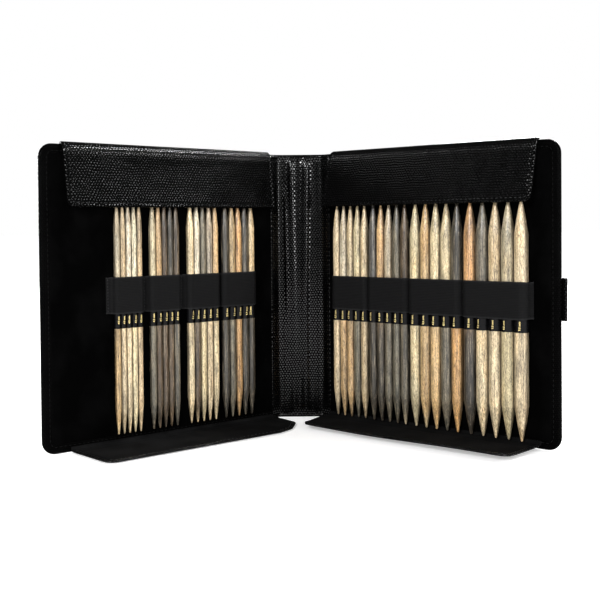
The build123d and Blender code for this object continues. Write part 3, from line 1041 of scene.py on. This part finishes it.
def bottom_flap_sheet(side):
    """The flap from the join line to its free edge. Returns its outline."""
    flap = BOTTOM_FLAPS[side]
    grid, outline = outline_grid(flap.corners, flap.radii, (0, 1, 2, 5), coarse=2.6)
    along, out = grid[..., 0], grid[..., 1]
    # the outline's first edge is the join line, which is not a free edge
    edge = edge_distance(grid, outline[1:])
    middle = bottom_flap_height(side, along, out)
    half = 0.72 * rounding(edge, 0.9)
    roll = flap.roll * bell(edge, 1.0, 0.8) - 0.2 * bell(edge, 3.0, 0.42)
    crease = 0.16 * bell(out, flap.fold, 1.1)
    # the strip along the free edge takes the lighter edge leather, a painted highlight along the
    # edge
    turned_edge = 2.2
    ob = slab("bottom_flap_skin_" + NAME[side],
              cover_xyz(side, along, out, middle + half + roll - crease),
              cover_xyz(side, along, out, middle - half),
              [SUEDE_FLAP, LEATHER, LEATHER_EDGE_HIGHLIGHT], (along, out), back=1, rim=2,
              border=(edge, turned_edge, 2))
    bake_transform(ob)
    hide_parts(NAME[side] + "_bottom_flap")
    return outline


def bottom_strip(side):
    """Strip from the cover's foot to the join line."""
    flap = BOTTOM_FLAPS[side]
    level = flap.level
    near, far = flap.corners[0][0], flap.corners[1][0]
    # cross-section (out, z)
    section = smooth_path([(-0.05, level + 2.6), (0.15, level + 1.6), (0.5, level + 0.6),
                           (1.3, level + 0.05), (2.4, level), (flap.join, level)], 0.3)
    normals = path_normals(section)
    stations = spacing(far - near, FINE, 3.0) * (far - near) + near
    along, row = np.meshgrid(stations, np.arange(len(section)), indexing="ij")
    edge = np.minimum(along - near, far - along)
    half = 0.72 * rounding(edge, 0.9) * np.clip(row / 6.0, 0.35, 1)
    roll = (0.32 * bell(edge, 1.0, 0.8) - 0.2 * bell(edge, 3.0, 0.42)) * unit((row - 5) / 4)

    def place(amount):
        moved = offset(section[None], normals[None], amount)
        return cover_xyz(side, along, moved[..., 0], moved[..., 1])

    ob = slab("bottom_strip_skin_" + NAME[side], place(half + roll), place(-half),
              [SUEDE_FLAP, LEATHER, LEATHER_HEM], (along, section[row, 0]), back=1, rim=2)
    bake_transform(ob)
    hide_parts(NAME[side] + "_bottom_flap_base")


def bottom_flap(side):
    """The open flap in two pieces that meet on a level strip, and its stitches."""
    outline = bottom_flap_sheet(side)
    bottom_strip(side)
    ring = inset_path(outline, 3.0)
    ring = ring[(ring[:, 1] > BOTTOM_FLAPS[side].fold + 2.6) & (ring[:, 1] < 44)]
    order = np.argsort(-np.arctan2(ring[:, 1], ring[:, 0] - 90))
    along, out = resample_evenly(ring[order], 700).T
    seam = cover_xyz(side, along, out, bottom_flap_height(side, along, out) + 0.54)
    sew("bottom_flap_stitching_" + NAME[side],
        stitch_row(seam, (0, 0, 1), STITCH["bottom_flap"]), THREAD,
        NAME[side] + "_bottom_flap")


# ------------------------------------------------------------------------ elastic
def group_half_width(size):
    return (5 * size + 4 * NEEDLE_GAP) / 2


def ribbon_flank(edge, outward, size, gap):
    """Ribbon points (along, out) from the foot up one flank of a group.

    outward is the sign of the way out of the group, gap the room to the next one."""
    radius = size / 2
    centre = radius + NEEDLE_REST
    reach = radius + RIBBON_OFFSET
    foot = min(1.5, gap / 2 - 0.25)
    if foot > 0.55:
        points = [(edge + outward * (foot + 0.4), RIBBON_OFFSET), (edge + outward * foot, 0.55)]
    else:
        points = [(edge + outward * (gap / 2 - 0.28), 0.75)]
    wall = edge + outward * RIBBON_OFFSET
    points += [(wall, centre * 0.75), (wall, centre)]
    for degrees in (8, 22, 36, 50, 64, 78):
        angle = math.radians(degrees)
        points.append((edge + outward * (reach * math.cos(angle) - radius),
                       centre + reach * math.sin(angle)))
    return points


def ribbon_path(side):
    """The ribbon's mid-line (along, out), and where it is sewn down."""
    start, end = RIBBON_SPAN[side]
    groups = sorted((middle - group_half_width(size), middle + group_half_width(size), size)
                    for size, middle, _, _ in NEEDLES[side])
    open_end = 99                       # more room than any foot needs
    gaps = [after[0] - before[1] for before, after in zip(groups, groups[1:])]
    gaps = [open_end, *gaps, open_end]
    points = [(start, RIBBON_OFFSET), (start + 1.6, RIBBON_OFFSET)]
    for k, (low, high, size) in enumerate(groups):
        top = size + NEEDLE_REST + RIBBON_OFFSET
        points += ribbon_flank(low, -1, size, gaps[k])
        for i in range(5):
            centre = low + size / 2 + i * (size + NEEDLE_GAP)
            points.append((centre, top + 0.02))
            if i < 4:
                points.append((centre + size / 2 + NEEDLE_GAP / 2, top - 0.05))
        points += ribbon_flank(high, 1, size, gaps[k + 1])[::-1]
    points += [(end - 1.6, RIBBON_OFFSET), (end, RIBBON_OFFSET)]
    seams = [(before[1] + after[0]) / 2 for before, after in zip(groups, groups[1:])]
    return smooth_path(points, 0.5), [start + 1.3, *seams, end - 1.3]


def elastic(side):
    """Woven ribbon: tight over each group of needles, sewn to the lining between groups."""
    path, seams = ribbon_path(side)
    lengths = path_lengths(path)
    heights = symmetric([0, 0.08, 0.25, 0.5, 0.8, 1.1, 1.4],
                        np.linspace(1.8, RIBBON_HEIGHT - 1.8, 79), RIBBON_HEIGHT)
    distance, up = np.meshgrid(lengths, heights, indexing="ij")
    edge = np.minimum(up, RIBBON_HEIGHT - up)
    from_end = np.minimum(distance, lengths[-1] - distance)
    rounded = rounding(edge, 0.25) * rounding(from_end, 0.25)
    rib = 0.035 * np.sin(up * 2 * math.pi / RIB_PITCH) * unit(edge / 1.2)
    selvedge = 0.05 * bell(edge, 0.55, 0.3) - 0.04 * bell(edge, 1.15, 0.25)
    # the edges pull in slightly where the ribbon is sewn down
    sewn = sum(bell(path[:, :1], seam, 1.2) for seam in seams)
    pull = 0.35 * sewn * np.sign(up - RIBBON_HEIGHT / 2) * unit(1 - edge / 6)
    foot = RIBBON_FOOT[side]

    def place(amount):
        moved = offset(path[:, None], path_normals(path)[:, None], amount)
        return cover_xyz(side, moved[..., 0], moved[..., 1], foot + up - pull)

    ob = slab("elastic_band_" + NAME[side], place((0.26 + rib + selvedge) * rounded),
              place(-0.24 * rounded), [ELASTIC], (distance, up))
    body = NAME[side] + "_cover"
    attach(ob, body, replaces=NAME[side] + "_elastic")

    # the narrow gaps of the right cover leave the ribbon standing higher at its seams
    z = np.linspace(foot + 0.8, foot + RIBBON_HEIGHT - 0.8, 30)
    rows = []
    for seam in seams:
        low = side == LEFT or seam in (seams[0], seams[-1])
        rows += stitch_row(cover_xyz(side, seam, 0.72 if low else 1.05, z),
                           cover_direction(side, 0, 1), STITCH["elastic"])
    sew("elastic_stitching_" + NAME[side], rows, THREAD, body)


# ------------------------------------------------------------------------ needles
def srgb_to_linear(colour):
    return np.array([v / 12.92 if v <= 0.04045 else ((v + 0.055) / 1.055) ** 2.4
                     for v in colour])


# Wood tones, sRGB.
TONES = {code: srgb_to_linear(colour) for code, colour in {
    "W": (0.97, 0.93, 0.83),        # near white
    "C": (0.93, 0.86, 0.71),        # cream
    "B": (0.84, 0.76, 0.61),        # beige
    "T": (0.86, 0.73, 0.54),        # tan
    "O": (0.86, 0.68, 0.46),        # orange tan
    "G": (0.45, 0.43, 0.38),        # warm grey
    "S": (0.37, 0.375, 0.37),       # slate
    "N": (0.35, 0.29, 0.215),       # brown
    "D": (0.25, 0.235, 0.205),      # dark brown grey
    "L": (0.78, 0.73, 0.64),        # light grey beige
}.items()}


@functools.cache
def numeral_mesh(text):
    """Flat mesh of a text one unit in size, centred: vertices and faces."""
    curve = bpy.data.curves.new("numeral", "FONT")
    curve.body = text
    curve.align_x, curve.align_y = "CENTER", "CENTER"
    curve.size = 1.0
    curve.resolution_u = 3
    curve.offset = 0.022
    ob = bpy.data.objects.new("numeral", curve)
    bpy.context.scene.collection.objects.link(ob)
    depsgraph = bpy.context.evaluated_depsgraph_get()
    mesh = bpy.data.meshes.new_from_object(ob.evaluated_get(depsgraph))
    bm = bmesh.new()
    bm.from_mesh(mesh)
    bmesh.ops.triangulate(bm, faces=bm.faces)
    # short edges, so that the text can wrap round the stick
    for _ in range(2):
        long_edges = [edge for edge in bm.edges if edge.calc_length() > 0.12]
        if long_edges:
            bmesh.ops.subdivide_edges(bm, edges=long_edges, cuts=1)
            bmesh.ops.triangulate(bm, faces=bm.faces)
    verts = np.array([vert.co[:] for vert in bm.verts])
    faces = [[vert.index for vert in face.verts] for face in bm.faces]
    bm.free()
    bpy.data.objects.remove(ob)
    bpy.data.curves.remove(curve)
    bpy.data.meshes.remove(mesh)
    verts[:, :2] -= (verts[:, :2].max(0) + verts[:, :2].min(0)) / 2
    return verts, faces


def around(radius, angle, z):
    """Points round a needle's axis, z from its foot."""
    return np.stack(np.broadcast_arrays(radius * np.cos(angle), radius * np.sin(angle), z), -1)


def stick_profile(radius, point_length):
    """Turned profile (radius, z): rounded tip, ogive point, shaft, raised band, mirrored."""
    half = NEEDLE_LENGTH / 2
    tip = 0.35 + 0.11 * radius
    profile = [(0.0, 0.0)]
    for degrees in (20, 40, 60, 80):
        angle = math.radians(degrees)
        profile.append((tip * math.sin(angle), tip * (1 - math.cos(angle))))
    start, end = np.array([tip, tip]), np.array([radius, point_length])
    control = (start + end) / 2 + np.array([0.10 * radius, 0])
    for t in np.linspace(0, 1, 13):
        profile.append(tuple((1 - t) ** 2 * start + 2 * t * (1 - t) * control + t ** 2 * end))
    band_start = half - BAND_HALF
    profile += [(radius, z) for z in np.linspace(point_length, band_start - 0.12, 12)[1:]]
    profile += [(radius + BAND_STEP * 0.6, band_start - 0.03),
                (radius + BAND_STEP, band_start + 0.10)]
    profile += [(radius + BAND_STEP, z) for z in np.linspace(band_start + 0.5, half, 5)]
    upper = [(r, NEEDLE_LENGTH - z) for r, z in profile[::-1]][1:]
    return np.array(profile + upper)


def turned_stick(profile):
    """Vertices, faces and material indices of the stick: 0 wood, 1 band."""
    rings = profile[1:-1]
    angles = np.arange(STICK_SEGMENTS) * 2 * math.pi / STICK_SEGMENTS
    verts = around(rings[:, :1], angles, rings[:, 1:]).reshape(-1, 3)
    verts = np.concatenate([verts, [[0, 0, 0]], [[0, 0, NEEDLE_LENGTH]]])
    faces = tube_quads(len(rings), STICK_SEGMENTS)
    between = (rings[:-1, 1] + rings[1:, 1]) / 2
    in_band = np.abs(between - NEEDLE_LENGTH / 2) < BAND_HALF + 0.04
    index = np.repeat(in_band.astype(int), STICK_SEGMENTS).tolist()
    foot = len(rings) * STICK_SEGMENTS
    last = foot - STICK_SEGMENTS
    for j in range(STICK_SEGMENTS):
        following = (j + 1) % STICK_SEGMENTS
        faces += [(foot, following, j), (foot + 1, last + j, last + following)]
        index += [0, 0]
    return verts, faces, index


def wood_colours(verts, tones, point_length, across, phase, variation):
    """Linear colour per vertex, from the tones of the upper half, lower half and point, and painted
    shade on the flanks.
    """
    top, low, low_point = (TONES[code] for code in tones)
    z = verts[:, 2]
    upper = (1 / (1 + np.exp(-(z - NEEDLE_LENGTH / 2) / 4.0)))[:, None]
    pointed = 0.75 * (unit(1 - z / (point_length * 0.55)) ** 0.8)[:, None]
    colour = low * (1 - upper) + top * upper
    colour = colour * (1 - pointed) + low_point * pointed
    waves = 1 + 0.07 * np.sin(z * 0.11 + phase) + 0.05 * np.sin(z * 0.27 + phase * 2)
    colour = colour * waves[:, None] * variation
    # painted shade: the flanks that face the neighbouring sticks are darkened, as if in their
    # shadow
    radial = verts[:, :2] / np.maximum(np.linalg.norm(verts[:, :2], axis=1), 1e-9)[:, None]
    flank_shade = smoothstep((np.abs(radial @ across) - 0.68) / 0.28)
    return unit(colour * (1 - 0.74 * flank_shade)[:, None])


def needle(side, size, tones, number, along):
    """One turned stick: ogive points and a black band with its printed size."""
    radius = size / 2
    point_length = 13.5 + size
    rng.normal(0, 0.008, 4)             # unused draws, which keep the sequence in step
    print_turn = rng.normal(0, 0.22)
    variation = (1 + rng.normal(0, 0.06)) * (1 + rng.normal(0, 0.015, 3))
    phase = rng.uniform(0, 6)
    seed = rng.uniform(0, 1, 3)

    verts, faces, index = turned_stick(stick_profile(radius, point_length))

    # printed size, reading up the stick and facing out of the loop
    facing = cover_direction(side, 0, 1)
    print_angle = math.atan2(facing[1], facing[0]) + print_turn
    print_radius = radius + BAND_STEP + 0.022
    text_verts, text_faces = numeral_mesh(f"{size:.1f} mm")
    text_size = min(1.9, 0.34 * size + 0.35)
    base = len(verts)
    angle = print_angle - text_verts[:, 1] * text_size / print_radius
    text_z = PRINT_HEIGHT[side] + text_verts[:, 0] * text_size
    verts = np.concatenate([verts, around(print_radius, angle, text_z)])
    faces += [tuple(base + i for i in face[::-1]) for face in text_faces]

    # thin gold rule round the top of the band
    base = len(verts)
    steps = STICK_SEGMENTS * 2
    rule_z = NEEDLE_LENGTH / 2 + BAND_HALF - 0.55 + np.array([-0.09, 0.09])
    rule = around(print_radius - 0.006, np.linspace(0, 2 * math.pi, steps + 1)[:, None], rule_z)
    verts = np.concatenate([verts, rule.reshape(-1, 3)])
    faces += [(i, i + 2, i + 3, i + 1) for i in range(base, base + 2 * steps, 2)]
    index += [2] * (len(faces) - len(index))

    name = f"needle_{str(size).replace('.', '_')}mm_{number}"
    centre = cover_xyz(side, along, NEEDLE_REST + radius, NEEDLE_FOOT[side])
    ob = make_mesh(name + "_stick", verts + centre, faces, [WOOD, BAND, GOLD],
                   mat_index=index, weld=False)
    across = np.array([-facing[1], facing[0]])
    colours = wood_colours(verts, tones, point_length, across, phase, variation)
    rgba = np.concatenate([colours, np.ones((len(verts), 1))], 1)
    tone = ob.data.color_attributes.new(name="wood_tone_and_shade", type="FLOAT_COLOR", domain="POINT")
    tone.data.foreach_set("color", rgba.astype(np.float32).ravel())
    grain = ob.data.attributes.new("wood_seed", "FLOAT_VECTOR", "POINT")
    grain.data.foreach_set("vector", np.tile(seed, (len(verts), 1)).astype(np.float32).ravel())
    attach(ob, name, replaces=name)


# -------------------------------------------------------------------------- strap
STRAP_HEIGHT, STRAP_THICK = 27.0, 1.5
STRAP_Z = 94.3                              # height of its centre line
STRAP_FOLD = np.array([189.3, -4.65])       # fold line behind the fore edge: along, out
STRAP_ANGLE = math.radians(210.0)
STRAP_DIRECTION = np.array([math.cos(STRAP_ANGLE), math.sin(STRAP_ANGLE)])
STRAP_FACING = np.array([STRAP_DIRECTION[1], -STRAP_DIRECTION[0]])
STRAP_END = 42.4 + 30.0                     # bridge and tip, from the fold line
STRAP_TIP_RADIUS = 12.0


def strap_strip(name, path, body, tip_radius=None, start_free=False):
    """Flat leather strip along a path (along, out) of the right cover."""
    lengths = path_lengths(path)
    stations = symmetric([0, 0.1, 0.3, 0.6, 1.0, 1.5, 2.0, 2.5, 3.0],
                         np.linspace(4.5, STRAP_HEIGHT - 4.5, 8), STRAP_HEIGHT)
    distance, up = np.meshgrid(lengths, stations, indexing="ij")
    half_height = STRAP_HEIGHT / 2
    z = up - half_height
    edge = np.minimum(up, STRAP_HEIGHT - up)
    if tip_radius:
        left = lengths[-1] - distance
        limit = half_height - tip_radius + tip_radius * rounding(left, tip_radius)
        z = z / half_height * limit
        edge = np.minimum(limit - np.abs(z), left)
    rounded = rounding(edge, 0.7)
    if start_free:
        rounded = rounded * rounding(distance, 0.7)
    roll = 0.10 * bell(edge, 0.9, 0.6) - 0.12 * bell(edge, 2.5, 0.4)

    def place(amount):
        moved = offset(path[:, None], -path_normals(path)[:, None], amount)
        return cover_xyz(RIGHT, moved[..., 0], moved[..., 1], STRAP_Z + z)

    ob = slab(name, place((STRAP_THICK / 2 + roll) * rounded),
              place(-STRAP_THICK / 2 * rounded), [LEATHER, LEATHER_HEM], (distance, up),
              back=1, rim=1)
    attach(ob, body)
    return ob


def strap_knuckle():
    """Rolled leather on the fold line, so that the strap joins it at any angle."""
    segments = 20
    z = symmetric([0, 0.15, 0.45, 0.9], np.linspace(2, STRAP_HEIGHT - 2, 9),
                  STRAP_HEIGHT)[:, None]
    edge = np.minimum(z, STRAP_HEIGHT - z)
    radius = 1.12 * np.maximum(rounding(edge, 0.8), 0.05) + 0.05 * np.sin(z * 1.1)
    step = np.arange(segments)[None]
    angle = 2 * math.pi * step / segments
    verts = cover_xyz(RIGHT, STRAP_FOLD[0] - 0.25 + radius * np.cos(angle),
                      STRAP_FOLD[1] + radius * np.sin(angle), STRAP_Z - STRAP_HEIGHT / 2 + z)
    uv = np.stack(np.broadcast_arrays(step / segments * 6.3, z), -1)
    ob = make_mesh("strap_knuckle", verts, capped_tube(len(z), segments), [LEATHER], uv)
    attach(ob, "right_cover")


def strap_free():
    """Bridge and tip in one flat sheet."""
    distance = np.linspace(0.2, STRAP_END, 110)[:, None]
    ob = strap_strip("strap_free", STRAP_FOLD + distance * STRAP_DIRECTION, "strap_bridge",
                     tip_radius=STRAP_TIP_RADIUS)
    # undo the ride, if it left a parent or a mark
    ob.parent = None
    if "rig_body" in ob:
        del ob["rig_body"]
    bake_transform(ob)
    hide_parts("strap_bridge", "strap_tip")


def strap_stitching():
    """A box of stitches on the root, then rows along the bridge and round the tip."""
    near, far, reach = 152.6, 181.0, 10.9
    low, high = STRAP_Z - reach, STRAP_Z + reach
    box = resample_evenly([(near, low), (far, low), (far, high), (near, high), (near, low)], 300)
    rows = stitch_row(cover_xyz(RIGHT, box[:, 0], -5.66, box[:, 1]),
                      cover_direction(RIGHT, 0, -1), STITCH["strap"])
    sew("strap_root_stitching", rows, THREAD, "right_cover")

    inset = 2.5
    edge = STRAP_HEIGHT / 2 - inset

    def free_row(distance, z):
        centre = STRAP_FOLD + distance[:, None] * STRAP_DIRECTION + STRAP_FACING * 0.66
        return stitch_row(cover_xyz(RIGHT, centre[:, 0], centre[:, 1], STRAP_Z + z),
                          cover_direction(RIGHT, *STRAP_FACING), STITCH["strap"])

    bridge, tip = np.linspace(3.0, 39.0, 60), np.linspace(45.5, 60.0, 60)
    sew("strap_bridge_stitching", free_row(bridge, -edge) + free_row(bridge, edge), THREAD,
        "strap_bridge")
    angles = np.radians(np.linspace(-75, 75, 50))
    round_tip = (STRAP_END - STRAP_TIP_RADIUS
                 + (STRAP_TIP_RADIUS - inset) * np.cos(angles))
    sew("strap_tip_stitching",
        free_row(tip, -edge) + free_row(tip, edge) + free_row(round_tip, edge * np.sin(angles)),
        THREAD, "strap_tip")


def strap():
    """Closing strap, sewn to the back of the right cover and folded behind it."""
    root = smooth_path([(150.0, -4.95), (180.0, -4.95), (186.0, -4.9), (188.2, -4.75)], 0.8)
    strap_strip("strap_root", root, "right_cover", start_free=True)
    strap_knuckle()
    strap_free()
    strap_stitching()


# ---------------------------------------------------------------------- build all
for side in SIDES:
    case_skin(side)
    cover_stitching(side)
    lining(side)
    top_flap(side)
    bottom_flap(side)
    elastic(side)
spine_inside()
spine_stitching()
for side in SIDES:
    hinge_inside(side)
for side in SIDES:
    for size, middle, slot, looks in NEEDLES[side]:
        for i, tones in enumerate(looks):
            from_start = size / 2 + i * (size + NEEDLE_GAP)
            along = middle + side * (from_start - group_half_width(size))
            needle(side, size, tones, i + 1, along)
strap()

# CAD pieces that stay as they are, with a new material
KEPT_PIECES = {"snap_cap": SNAP, "snap_stud": SNAP, "left_board": BOARD, "right_board": BOARD}
for node_name, ob in frame["nodes"].items():
    if node_name in KEPT_PIECES:
        ob.data.materials.clear()
        ob.data.materials.append(KEPT_PIECES[node_name])


# ------------------------------------------------------- floor, light and camera
def floor_material(name):
    """White paper that glows to the camera, more so away from the case."""
    m = Shader(name)
    paper = m.noise((60, 60, 60), source="object")
    distance = m.vector("LENGTH", m.coords(source="object"))
    glow = m.ramp(distance, {0.25: 0.42, 0.95: 1})
    seen = m.add("ShaderNodeLightPath").outputs["Is Camera Ray"]
    m.surface({"Base Color": m.mix(paper, (0.86, 0.86, 0.86), (0.90, 0.90, 0.90)),
               "Roughness": 0.8,
               "Emission Color": (1, 1, 1),
               "Emission Strength": m.times(seen, glow)})
    return m.mat


def build_floor():
    """A disc of rings, in metres, just under the case."""
    mat = floor_material("floor_paper")
    segments, height = 48, -0.0004
    radii = (0.3, 0.8, 1.6, 3.0, 8.0, 20.0)
    bpy.ops.mesh.primitive_plane_add(size=1.0, location=(0, 0, 0))
    floor = bpy.context.object
    floor.name = "floor"
    mesh = floor.data
    mesh.clear_geometry()
    verts = [(0, 0, height)]
    for radius in radii:
        for j in range(segments):
            angle = 2 * math.pi * j / segments
            verts.append((radius * math.cos(angle), radius * math.sin(angle), height))
    faces = []
    for j in range(segments):
        following = (j + 1) % segments
        faces.append((0, 1 + j, 1 + following))
        for k in range(len(radii) - 1):
            i0 = 1 + segments * k + j
            i1 = 1 + segments * k + following
            faces.append((i0, i0 + segments, i1 + segments, i1))
    mesh.from_pydata(verts, [], faces)
    mesh.materials.append(mat)
    mesh.polygons.foreach_set("use_smooth", np.ones(len(mesh.polygons), bool))


def build_world():
    """Dim white light all round, seen by the camera as plain white."""
    world = bpy.context.scene.world or bpy.data.worlds.new("studio")
    bpy.context.scene.world = world
    world.use_nodes = True
    nodes, links = world.node_tree.nodes, world.node_tree.links
    ambient = nodes["Background"]
    backdrop = nodes.new("ShaderNodeBackground")
    for background, strength in ((ambient, 0.20), (backdrop, 1.0)):
        background.inputs["Color"].default_value = (1, 1, 1, 1)
        background.inputs["Strength"].default_value = strength
    seen = nodes.new("ShaderNodeLightPath").outputs["Is Camera Ray"]
    mix = nodes.new("ShaderNodeMixShader")
    output = next(node for node in nodes if node.type == "OUTPUT_WORLD")
    links.new(seen, mix.inputs[0])
    links.new(ambient.outputs[0], mix.inputs[1])
    links.new(backdrop.outputs[0], mix.inputs[2])
    links.new(mix.outputs[0], output.inputs[0])


def area_light(name, at, aim, size, watts):
    light = bpy.data.lights.new(name, "AREA")
    light.shape = "RECTANGLE"
    light.size, light.size_y = size
    light.energy = watts
    ob = bpy.data.objects.new(name, light)
    bpy.context.scene.collection.objects.link(ob)
    ob.location = at
    ob.rotation_mode = "QUATERNION"
    ob.rotation_quaternion = (Vector(aim) - Vector(at)).to_track_quat("-Z", "Y")


def build_camera():
    """Camera in front of the case, looking along +Y and slightly down."""
    data = bpy.data.cameras.new("camera")
    camera = bpy.data.objects.new("camera", data)
    bpy.context.scene.collection.objects.link(camera)
    position = Vector((0.00038, -0.72572, 0.1406))
    yaw, pitch, roll = -0.00082, 0.02163, -0.00862      # radians
    level = Vector((math.sin(yaw), math.cos(yaw), 0))
    right = Vector((math.cos(yaw), -math.sin(yaw), 0))
    vertical = Vector((0, 0, 1))
    forward = level * math.cos(pitch) - vertical * math.sin(pitch)
    up = vertical * math.cos(pitch) + level * math.sin(pitch)
    rolled_right = right * math.cos(roll) + up * math.sin(roll)
    rolled_up = up * math.cos(roll) - right * math.sin(roll)
    turn = Matrix((rolled_right, rolled_up, -forward)).transposed().to_4x4()
    camera.matrix_world = Matrix.Translation(position) @ turn
    data.sensor_width = 36.0
    data.lens = 59.0886
    data.shift_y = -0.086
    data.clip_start, data.clip_end = 0.01, 50
    bpy.context.scene.camera = camera


build_floor()
build_world()
area_light("key", at=(-0.50, -1.40, 0.70), aim=(0, -0.05, 0.1), size=(0.35, 0.35), watts=21)
area_light("fill", at=(0.40, -1.40, 0.50), aim=(0, -0.05, 0.1), size=(0.35, 0.35), watts=3.5)
area_light("rim", at=(1.07, -0.42, 0.62), aim=(-0.08, -0.06, 0.17), size=(0.12, 0.12), watts=2)
area_light("fold", at=(0.72, 0.10, 1.20), aim=(-0.08, -0.06, 0.19), size=(0.16, 0.12), watts=13)
area_light("strip_right", at=(0.92, -1.15, 0.34), aim=(0, 0, 0.1), size=(0.20, 0.55), watts=6)
area_light("back", at=(0.55, 1.35, 0.70), aim=(0, 0, 0.1), size=(0.6, 0.6), watts=45)
area_light("back_left", at=(-1.15, 0.75, 0.45), aim=(0, 0, 0.1), size=(0.5, 0.5), watts=26)
build_camera()
bpy.context.scene.view_settings.view_transform = "Standard"
